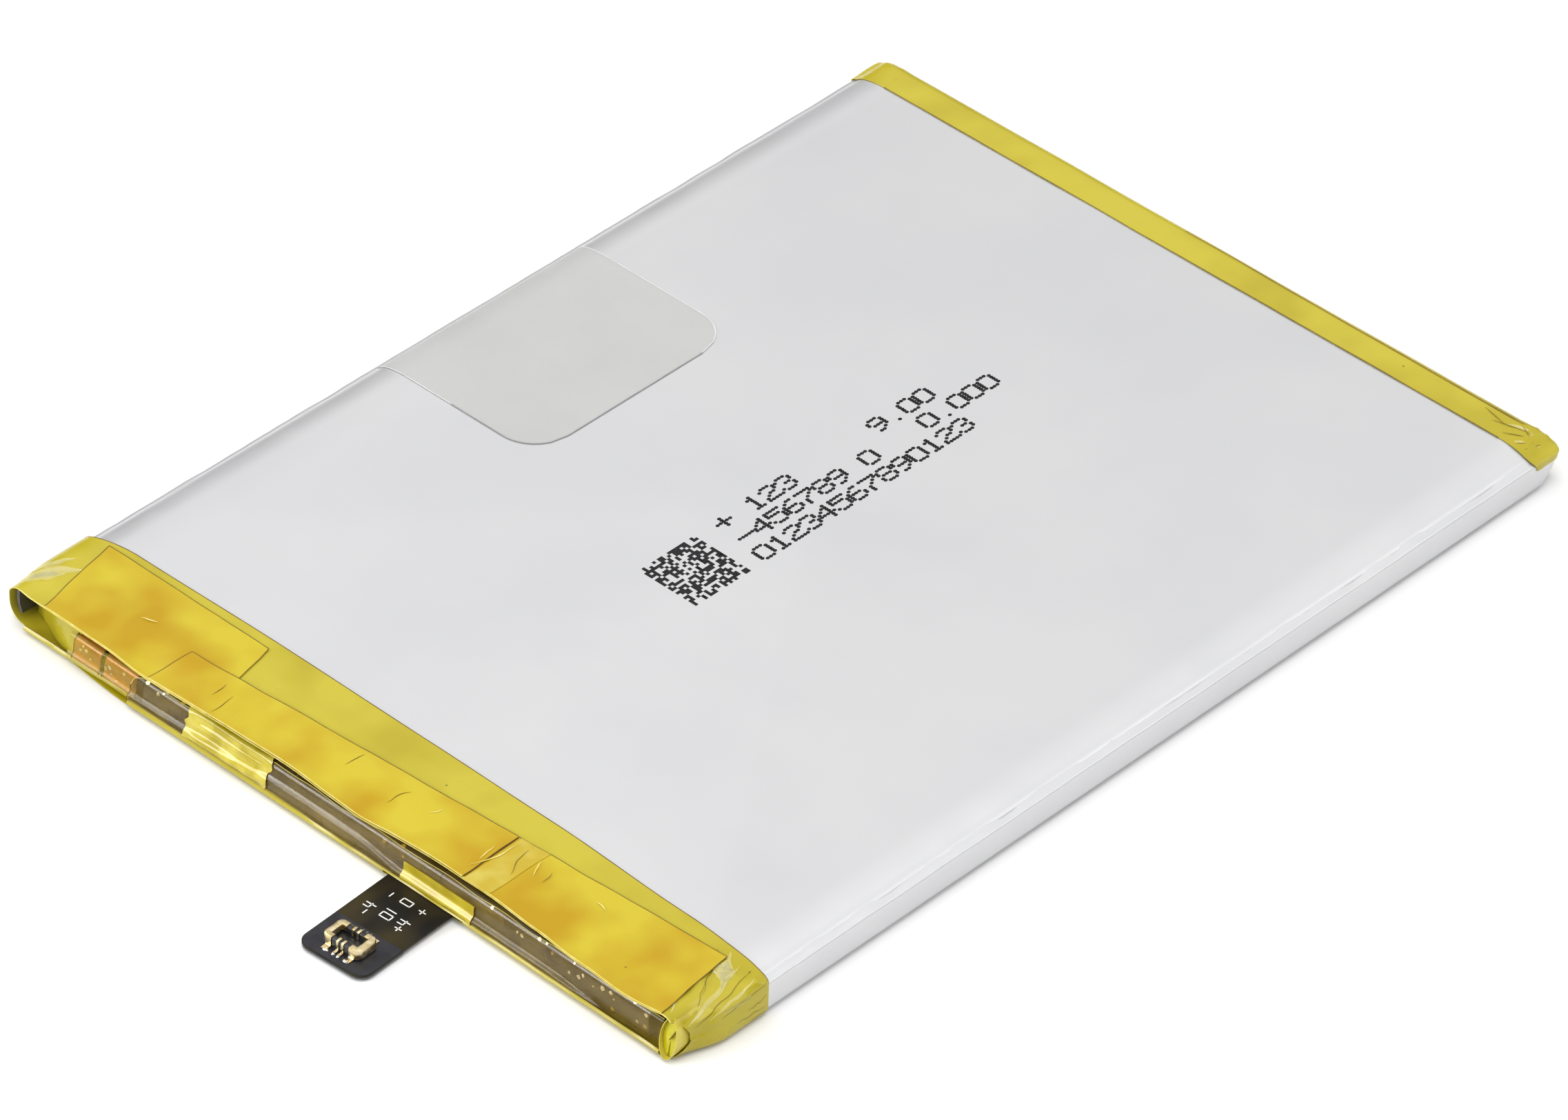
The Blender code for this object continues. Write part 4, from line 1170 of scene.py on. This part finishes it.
def make_lip():
    """The lower tape, turned up a little way along the front. It stands clear of the tail."""
    grid = []
    count = 260
    low, high = -28.1, 28.1
    for x in spread(low, high, count):
        outer = smoothstep(-18.6, -18.1, x)
        front = -40.05 - 0.47 * outer + front_line(x) + 0.03 * drift(x, 0, 0, 2.2, 5.0)
        top = lip_height(x)
        row = [(x, -37.0 - 0.6 * k, -0.005 - 0.02 * k) for k in range(4)]
        row += [(x, front + 0.45 - 0.45 * math.sin(t), 0.36 - 0.40 * math.cos(t)) for t in quarter(7)]
        row += [(x, front + 0.04 * k, 0.36 + (top - 0.3) * k / 3) for k in (1, 2, 3)]
        grid.append(row)
    columns = len(grid[0])

    def keep(i, j):
        x = low + (high - low) * (i + 0.5) / count
        return not (TAIL_WAY[0] < x < TAIL_WAY[1] and 2 < j < columns - 4)

    piece("lip_tape", sheet(grid, TAPE * 0.8, keep=keep), "tape_yellow", ["front_lip_tape"])
    # A line of painted shade along the lip's top edge, where it meets the roll.
    line = [(x, y - 0.03, z + 0.01) for x, y, z in (row[-1] for row in grid)]
    piece("lip_edge", strip(line, 0.05, 0.02, (0, -1, 0.3)), "tape_edge_shade")


def make_roll_wrap():
    """The clear tape that holds the roll down, from under the front up over the roll's crown."""
    grid = []
    for x in spread(-18.2, 27.9, 230):
        top = 118 + 9 * drift(x, 0, 0, 3.0, 9.0)
        if x < -16.9:
            top = 118 + 50 * (1 - math.sqrt(max(0.0, 1 - ((-16.9 - x) / 1.3) ** 2)))
        grid.append(rolled(x, spread(top, 232, 24), wrap_lift))
    piece("roll_wrap", sheet(grid, 0.04), "tape_clear")
    upper = [row[0] for row in grid]
    # A painted highlight along the wrap's upper edge, and painted shade along its end.
    piece("roll_wrap_edge", strip(upper, 0.05, 0.02, (0, -0.6, 0.8)), "tape_edge_highlight")
    piece("roll_wrap_end", strip(grid[0], 0.06, 0.02, (1, 0, 0)), "tape_edge_shade")


def wrap_lift(x, angle):
    return 0.13 + 0.02 * drift(x, angle * 0.03, 0.0, 3.0, 21.0) + 0.05 * smoothstep(190, 225, angle)


def make_left_films():
    """The clear tape over the copper pads, and the tape seen behind them in the open end."""
    angles = spread(112, 228, 20)
    grid = []
    for x in spread(-23.9, -17.9, 60):
        grid.append(rolled(x, angles, lambda x, a: 0.04 * drift(x, 0.03 * a, 0.0, 1.6, 51.0)))
    piece("pad_film", sheet(grid, 0.035), "tape_thin")
    curtain = []
    for x in spread(-28.9, -23.3, 24):
        y = -38.0 - 1.75 * smoothstep(-29.2, -24.0, x) + 0.08 * drift(x, 0, 0, 1.5, 3.0)
        curtain.append([(x, y + 0.5 * (z / 2.8) ** 2, z) for z in np.linspace(0.03, 2.75, 14)])
    piece("inner_tape_left", sheet(curtain, 0.06), "tape_yellow")


def make_wrinkled_tape():
    """The bright tape that bulges over the roll left of the tail, pulled into lengthwise wrinkles."""
    low, high = WRINKLED_PLACES

    def lift_at(x, angle):
        wrinkle = math.sin(math.radians(angle) * 9 + 2.2 * drift(x, 0, 0, 4.0, 2.0) + 0.35 * (x - low))
        ends = smoothstep(low, low + 1.2, x) * smoothstep(high, high - 1.2, x)
        return 0.19 + 0.055 * wrinkle * ends + 0.05 * drift(x, 0.04 * angle, 0, 1.4, 31.0)

    def sway_at(angle):
        return 0.35 * drift(0.0, 0.05 * angle, 0.0, 1.2, 7.0)

    angles = spread(62, 222, 33)
    grid = [rolled(x, angles, lift_at, sway_at) for x in spread(low, high, 60)]
    piece("wrinkled_tape", sheet(grid, 0.06), "tape_bright")
    row_ends("wrinkled_tape_ends", grid, 0.06, 0.015)


def make_band():
    """The short bright tape drawn tight over the roll where the tail leaves."""
    low, high = BAND_PLACES

    def lift_at(x, angle):
        return 0.17 + 0.02 * drift(x, 0.04 * angle, 0, 1.6, 41.0) + 0.04 * smoothstep(high - 0.5, high, x)

    def sway_at(angle):
        return 0.05 * drift(0, 0.05 * angle, 0, 1.0, 9.0)

    angles = spread(163, 234, 35)
    grid = [rolled(x, angles, lift_at, sway_at) for x in spread(low, high, 40)]
    piece("exit_band", sheet(grid, 0.07), "tape_gold", ["tail_exit_tape"])
    row_ends("exit_band_ends", grid, 0.07, 0.02)


CORNER_MIDDLE = (28.62, 1.47)  # x and z of the folded end in the right corner
CORNER_HALF = (0.66, 1.38)


def make_corner_pieces():
    """What shows in the sleeve's two open corners: a dark bent bracket, and a folded end of tape."""
    path = [(-28.2, 2.62), (-28.9, 2.66), (-29.25, 2.45), (-29.38, 2.0), (-29.35, 1.2), (-29.1, 0.55)]
    grid = [[(x, y, z) for y in (-39.25, -38.6, -38.0, -37.2)] for x, z in path]
    piece("corner_bracket_left", sheet(grid, 0.22), "bracket", ["foam_pad_left"])
    middle_x, middle_z = CORNER_MIDDLE
    half_x, half_z = CORNER_HALF
    outline = []
    for turn in [math.radians(angle) for angle in range(-165, 166, 15)]:
        z = middle_z - half_z * math.cos(turn)
        outline.append((middle_x + half_x * math.sin(turn), -40.05 - 0.65 * (1 - z / 3), z))
    shares = spread(0, 1, 15)
    fold = [[(x, front + (-37.6 - front) * share, z) for x, front, z in outline] for share in shares]
    piece("corner_roll_right", sheet(fold, 0.05), "tape_bright")
    web = []
    for share in (1.0, 0.75, 0.5, 0.25, 0.02):
        row = []
        for turn in [math.radians(angle) for angle in range(0, 361, 15)]:
            z = middle_z - (half_z - 0.08) * share * math.cos(turn)
            row.append((middle_x + (half_x - 0.04) * share * math.sin(turn), -39.75 - 0.6 * (1 - z / 3), z))
        web.append(row)
    piece("corner_web_right", sheet(web, 0.04), "tape_web")
    # A dark sheet of painted shade in the right corner's fold.
    brace = []
    for t in (0.5, 0.75, 1.0):
        brace.append([(28.25 + 0.8 * t, y + 0.3 * t, 0.55 + 1.7 * t) for y in (-40.45, -40.1, -39.6)])
    piece("corner_fold_right", sheet(brace, 0.05), "tape_edge_shade")


# ---------------------------------------------------------------- tail and plug

ROOT = Vector(JOINTS["tail_root_bend"]["pos_m"]) / MM
END = Vector(JOINTS["tail_end_bend"]["pos_m"]) / MM
AXIS = Vector(JOINTS["tail_root_bend"]["axis"])
YAW = math.atan2(-AXIS.y, -AXIS.x)
TAIL_HALF = 2.75
NECK = (END - ROOT).length
END_REACH = 3.85
FLEX = 0.12
BEND_REACH = 0.45  # the flexible length each side of a bending line
MARK_Z = FLEX / 2 + 0.008
# Where the tail's strip runs inside the pack, from the board down to its root line: (y, z) pairs.
TAIL_INSIDE = ((2.32, 0.58), (2.12, 0.56), (1.96, 0.44), (1.92, 0.28), (1.86, 0.12), (1.72, 0.02))


def on_tail(x, y, z):
    """A point given along the tail, from its root line, as a point in the frame."""
    return (
        ROOT.x + x * math.cos(YAW) - y * math.sin(YAW),
        ROOT.y + x * math.sin(YAW) + y * math.cos(YAW),
        ROOT.z + z,
    )


def bend_at(y, body_a, body_b):
    start = Vector(on_tail(0, y + BEND_REACH, 0)) * MM
    end = Vector(on_tail(0, y - BEND_REACH, 0)) * MM
    return (body_a, body_b, start, end)


def tail_grid(line, half_at=lambda y: TAIL_HALF):
    """A grid across the tail along a line of (y, z) points."""
    return [[on_tail(share * half_at(y), y, z) for y, z in line] for share in spread(-1, 1, 14)]


def tail_tip(start, reach, steps):
    """Places in y that close up towards the tail's rounded tip."""
    return [start + reach * (1 - share) ** 2 for share in spread(0, 1, steps)]


def end_half(y):
    """The tail's half width, which rounds off at its end."""
    radius = 0.9
    gap = -NECK - END_REACH + radius - y
    if gap <= 0:
        return TAIL_HALF
    return TAIL_HALF - radius + math.sqrt(max(radius**2 - gap**2, 0.0))


def make_tail():
    neck_bend = bend_at(0.0, "pack", "tail_neck")
    end_bend = bend_at(-NECK, "tail_neck", "tail_end")
    first = [*TAIL_INSIDE, *((1.5 - 0.1 * i, 0.0) for i in range(34))]
    root = sheet(tail_grid(first), FLEX)
    piece("tail_strip", root, "tail_coverlay", ["flex_root", "flex_neck"], bend=neck_bend)
    tip = -NECK - END_REACH
    second = [(y, 0.0) for y in [-1.8 - 0.1 * i for i in range(52)] + tail_tip(tip, 0.55, 12)]
    end = sheet(tail_grid(second, end_half), FLEX - 0.004)
    piece("tail_end_strip", end, "tail_coverlay", ["flex_end"], bend=end_bend)
    pad = [-NECK - 0.2 - 0.3 * i for i in range(11)] + tail_tip(tip + 0.05, 0.5, 8)
    grid = tail_grid([(y, FLEX / 2 + 0.004) for y in pad], lambda y: end_half(y - 0.04) - 0.05)
    piece("tail_end_cover", sheet(grid, 0.012), "tail_cover", body="tail_end")
    traces = []
    places = spread(-NECK - 0.3, -NECK - 1.0, 5)
    for x in (-0.30, 0.02, 0.34):
        line = [on_tail(x + 0.05 * math.sin(2 * y), y, MARK_Z) for y in places]
        traces.append(strip(line, 0.10, 0.008))
    piece("tail_traces", together(traces), "trace", body="tail_end")
    make_silk(neck_bend)


# Pole marks and reference figures, drawn as strokes in a cell 0.5 wide and 0.8 tall.
STROKES = {
    "+": (((-0.25, 0.4), (0.25, 0.4)), ((0.0, 0.12), (0.0, 0.68))),
    "-": (((-0.22, 0.4), (0.22, 0.4)),),
    "1": (((0.0, 0.0), (0.0, 0.8)),),
    "2": (((-0.22, 0.8), (0.22, 0.8), (0.22, 0.4), (-0.22, 0.4), (-0.22, 0.0), (0.22, 0.0)),),
    "0": (((-0.22, 0.0), (0.22, 0.0), (0.22, 0.8), (-0.22, 0.8), (-0.22, 0.0)),),
    "4": (((-0.22, 0.8), (-0.22, 0.35), (0.25, 0.35)), ((0.12, 0.8), (0.12, 0.0))),
}


def stroke_mark(mark, x, y):
    """A mark whose upright runs across the tail's length."""
    lines = []
    for stroke in STROKES[mark]:
        path = []
        for (u0, v0), (u1, v1) in zip(stroke, stroke[1:]):
            points = zip(spread(u0, u1, 4), spread(v0, v1, 4))
            path += [on_tail(x - v + 0.4, y + u, MARK_Z) for u, v in points]
        lines.append(strip(path, 0.085, 0.01))
    return together(lines)


def make_silk(neck_bend):
    neck_marks = (
        ("4", -1.62, -2.10), ("-", -1.45, -2.75), ("1", -0.25, -1.65), ("0", -0.2, -2.2), ("4", 1.05, -1.95),
        ("+", 1.15, -2.6),
    )
    root_marks = (("-", -1.3, -0.52), ("0", -0.1, -0.45), ("+", 1.2, -0.48))
    piece("tail_marks", together([stroke_mark(*mark) for mark in neck_marks]), "silk", body="tail_neck")
    piece("tail_root_marks", together([stroke_mark(*mark) for mark in root_marks]), "silk", bend=neck_bend)


PLUG_Y = -NECK - 1.95
PLUG_HALF_X = 1.45
PLUG_HALF_Y = 0.875
PLUG_BOTTOM = FLEX / 2 + 0.02
PLUG_TOP = PLUG_BOTTOM + 0.72
PLUG_WALL = 0.36
# A power contact's foot: how far it stands out from the housing, and its height.
FOOT_LINE = ((0.03, 0.30), (0.04, 0.12), (0.10, 0.055), (0.25, 0.05), (0.52, 0.05))


def plug_ring(inset, z, steps=6):
    radius = max(0.3 - inset, 0.06)
    ring = []
    for cx, cy, start in ((1, 1, 0), (-1, 1, 90), (-1, -1, 180), (1, -1, 270)):
        x, y = cx * (PLUG_HALF_X - inset - radius), PLUG_Y + cy * (PLUG_HALF_Y - inset - radius)
        for turn in [math.radians(angle) for angle in spread(start, start + 90, steps)]:
            ring.append(on_tail(x + radius * math.cos(turn), y + radius * math.sin(turn), z))
    return ring


def make_plug():
    edge = 0.05
    floor = PLUG_BOTTOM + 0.18
    outside = [(0.0, PLUG_BOTTOM), (0.0, PLUG_TOP - edge), (edge, PLUG_TOP)]
    inside = [(PLUG_WALL - edge, PLUG_TOP), (PLUG_WALL, PLUG_TOP - edge), (PLUG_WALL, floor)]
    shape = loft([plug_ring(inset, z) for inset, z in outside + inside])
    piece("plug_body", shape, "plug_plastic", ["plug_housing"], body="tail_end", sharp=50)
    for side, sign in (("left", -1), ("right", 1)):
        make_power_contact(side, sign)
    for side, sign in (("front", -1), ("rear", 1)):
        make_signal_contact(side, sign)
    make_solder()


def wall_profile(height_out, height_in):
    """Over a wall, as (offset across it, z): up its outside, over its rim and down its inside."""
    out, over = PLUG_WALL / 2 + 0.04, PLUG_TOP + 0.035
    return [(out, height_out), (out, over - 0.09), (out - 0.03, over - 0.02), (out - 0.1, over),
            (-out + 0.1, over), (-out + 0.03, over - 0.02), (-out, over - 0.09), (-out, height_in)]


def make_power_contact(side, sign):
    """A gilded clip round the housing's short end, over its rim, with a foot on each long side."""
    end_x, start_x = PLUG_HALF_X - PLUG_WALL / 2, 0.72
    beside = PLUG_HALF_Y - PLUG_WALL / 2
    radius = 0.16
    turns = quarter(4)
    # The middle of the wall with the way out of it, from one long side round the end to the other.
    path = [(start_x, -beside, 0.0, -1.0), (end_x - radius, -beside, 0.0, -1.0)]
    for sine, cosine in [(math.sin(turn), math.cos(turn)) for turn in turns[1:]]:
        path.append((end_x - radius + radius * sine, -beside + radius - radius * cosine, sine, -cosine))
    for sine, cosine in [(math.sin(turn), math.cos(turn)) for turn in turns]:
        path.append((end_x - radius + radius * cosine, beside - radius + radius * sine, cosine, sine))
    path.append((start_x, beside, 0.0, 1.0))
    profile = wall_profile(PLUG_BOTTOM + 0.1, PLUG_BOTTOM + 0.35)
    grid = []
    for x, y, out_x, out_y in path:
        grid.append([on_tail(sign * (x + out_x * off), PLUG_Y + y + out_y * off, z) for off, z in profile])
    parts = [sheet(grid, 0.05)]
    for way in (-1, 1):
        foot = []
        for x in (start_x + 0.02, start_x + 0.42):
            edge_y = PLUG_Y + way * PLUG_HALF_Y
            foot.append([on_tail(sign * x, edge_y + way * reach, PLUG_BOTTOM + z) for reach, z in FOOT_LINE])
        parts.append(sheet(foot, 0.06))
    nodes = [f"power_contact_{side}"]
    piece(f"power_clip_{side}", together(parts), "gilding", nodes, body="tail_end")


def make_signal_contact(side, sign):
    middle = PLUG_HALF_Y - PLUG_WALL / 2
    line = [(PLUG_HALF_Y + reach, PLUG_BOTTOM + 0.05) for reach in (0.5, 0.12)]
    line += [(middle + off, z) for off, z in wall_profile(PLUG_BOTTOM + 0.12, PLUG_BOTTOM + 0.25)]
    strips = []
    for x in (-0.20, 0.20):
        grid = [[on_tail(x + dx, PLUG_Y + sign * y, z) for y, z in line] for dx in (-0.09, 0.09)]
        strips.append(sheet(grid, 0.045))
    nodes = [f"signal_contact_{side}"]
    piece(f"signal_strips_{side}", together(strips), "gilding", nodes, body="tail_end")


def make_solder():
    """A small fillet of solder on each foot."""
    around = [2 * math.pi * k / 14 for k in range(14)]
    fillets = []
    for way in (-1, 1):
        y = PLUG_Y + way * (PLUG_HALF_Y + 0.42)
        for x, size in ((-0.84, 0.26), (-0.20, 0.13), (0.20, 0.13), (0.84, 0.26)):
            rings = []
            for turn in quarter(4):
                reach = math.cos(turn) * 0.98 + 0.02
                z = PLUG_BOTTOM + 0.10 * math.sin(turn)
                outline = [(size * reach * math.cos(a), 0.16 * reach * math.sin(a)) for a in around]
                rings.append([on_tail(x + along_x, y + along_y, z) for along_x, along_y in outline])
            fillets.append(loft(rings))
    piece("solder_fillets", together(fillets), "solder", body="tail_end")


# ---------------------------------------------------------------- carried-over nodes


def paint_carried():
    """Gives each node that keeps its shape the finish of its own slot."""
    slots = {part["node"]: part["material_slot"] for part in frame["record"]["subparts"]}
    for name, node in frame["nodes"].items():
        slot = slots.get(name)
        if slot in CARRIED:
            node.data.materials.clear()
            node.data.materials.append(LOOKS[CARRIED[slot][0]])


# ---------------------------------------------------------------- studio

CAMERA_PLACE = (0.326218, -0.354824, 0.383320)
CAMERA_AZIMUTH = 42.610
CAMERA_ELEVATION = 38.557
CAMERA_ROLL = 1.564
FOCAL_LENGTH = 221.9
SKY = ((0.07, 0.04), (0.24, 0.22), (0.47, 0.97), (1.0, 1.05))  # (height, grey) pairs
SKY_TILT = 0.13
# Soft lights: name, place, aim, size and watts.
LIGHTS = (
    ("overhead", (0.10, -0.10, 0.90), (0, 0, 0), (0.6, 0.6), 3.2),
    ("front_strip", (-0.53, -0.77, 0.36), (0, -0.04, 0), (0.50, 0.26), 5.0),
    ("left_box", (-0.667, 0.131, 0.70), (0, 0, 0), (0.20, 0.26), 0.6),
    ("right_strip", (0.62, 0.58, 0.53), (0.03, 0, 0), (0.34, 0.34), 0.5),
)


def make_camera():
    """A long lens that looks along the azimuth and elevation, rolled a little about its own axis."""
    azimuth, elevation = math.radians(CAMERA_AZIMUTH), math.radians(CAMERA_ELEVATION)
    level = math.cos(elevation)
    forward = Vector((-math.sin(azimuth) * level, math.cos(azimuth) * level, -math.sin(elevation)))
    lens = bpy.data.cameras.new("camera")
    lens.lens = FOCAL_LENGTH
    lens.sensor_width = 36.0
    lens.clip_start = 0.01
    camera = bpy.data.objects.new("camera", lens)
    camera.location = CAMERA_PLACE
    camera.rotation_mode = "QUATERNION"
    roll = Quaternion((0, 0, 1), math.radians(CAMERA_ROLL))
    camera.rotation_quaternion = forward.to_track_quat("-Z", "Y") @ roll
    bpy.context.scene.collection.objects.link(camera)
    bpy.context.scene.camera = camera


def soft_light(name, place, aim, size, watts):
    data = bpy.data.lights.new(name, "AREA")
    data.shape = "RECTANGLE"
    data.size, data.size_y = size
    data.energy = watts
    light = bpy.data.objects.new(name, data)
    light.location = place
    light.rotation_euler = (Vector(aim) - Vector(place)).to_track_quat("-Z", "Y").to_euler()
    bpy.context.scene.collection.objects.link(light)


def make_sky():
    """An even white room that is dimmer at eye level, most of all on the left, so that rounded edges show a
    soft dark band."""
    world = bpy.data.worlds.new("studio")
    world.use_nodes = True
    tree = world.node_tree
    place = tree.nodes.new("ShaderNodeTexCoord")
    split = tree.nodes.new("ShaderNodeSeparateXYZ")
    ramp = tree.nodes.new("ShaderNodeValToRGB")
    while len(ramp.color_ramp.elements) < len(SKY):
        ramp.color_ramp.elements.new(0.5)
    for element, (height, grey) in zip(ramp.color_ramp.elements, SKY):
        element.position = height
        element.color = (grey, grey, grey, 1.0)
    tree.links.new(place.outputs["Generated"], split.inputs["Vector"])
    tilt = tree.nodes.new("ShaderNodeMath")
    tilt.operation = "MULTIPLY_ADD"
    tilt.inputs[1].default_value = SKY_TILT
    tree.links.new(split.outputs["X"], tilt.inputs[0])
    tree.links.new(split.outputs["Z"], tilt.inputs[2])
    tree.links.new(tilt.outputs["Value"], ramp.inputs["Fac"])
    tree.links.new(ramp.outputs["Color"], tree.nodes["Background"].inputs["Color"])
    tree.nodes["Background"].inputs["Strength"].default_value = 1.0
    bpy.context.scene.world = world


def make_studio():
    look = Nodes("studio_floor")
    tone = look.ramp(look.noise(400.0), [(0.4, (0.86, 0.86, 0.86)), (0.6, (0.88, 0.88, 0.88))])
    look.done(tone, look.between(look.noise(90.0), 0.3, 0.7, 0.7, 0.8))
    half = 3.0
    height = CAD_LOW.z - 0.00005
    corners = [(half * x, half * y, height) for x, y in ((-1, -1), (1, -1), (1, 1), (-1, 1))]
    data = bpy.data.meshes.new("studio_floor")
    data.from_pydata(corners, [], [(0, 1, 2, 3)])
    data.materials.append(LOOKS["studio_floor"])
    floor = bpy.data.objects.new("studio_floor", data)
    bpy.context.scene.collection.objects.link(floor)
    make_sky()
    for light in LIGHTS:
        soft_light(*light)
    bpy.context.scene.view_settings.view_transform = "Standard"


# ---------------------------------------------------------------- all of it


def main():
    make_camera()
    make_studio()
    make_finishes()
    make_pouch()
    make_label()
    make_print()
    make_far_tape()
    make_sleeve()
    make_amber()
    make_rolls()
    make_copper_pads()
    make_gold_flecks()
    make_lip()
    make_roll_wrap()
    make_left_films()
    make_wrinkled_tape()
    make_band()
    make_corner_pieces()
    make_tail()
    make_plug()
    paint_carried()


main()
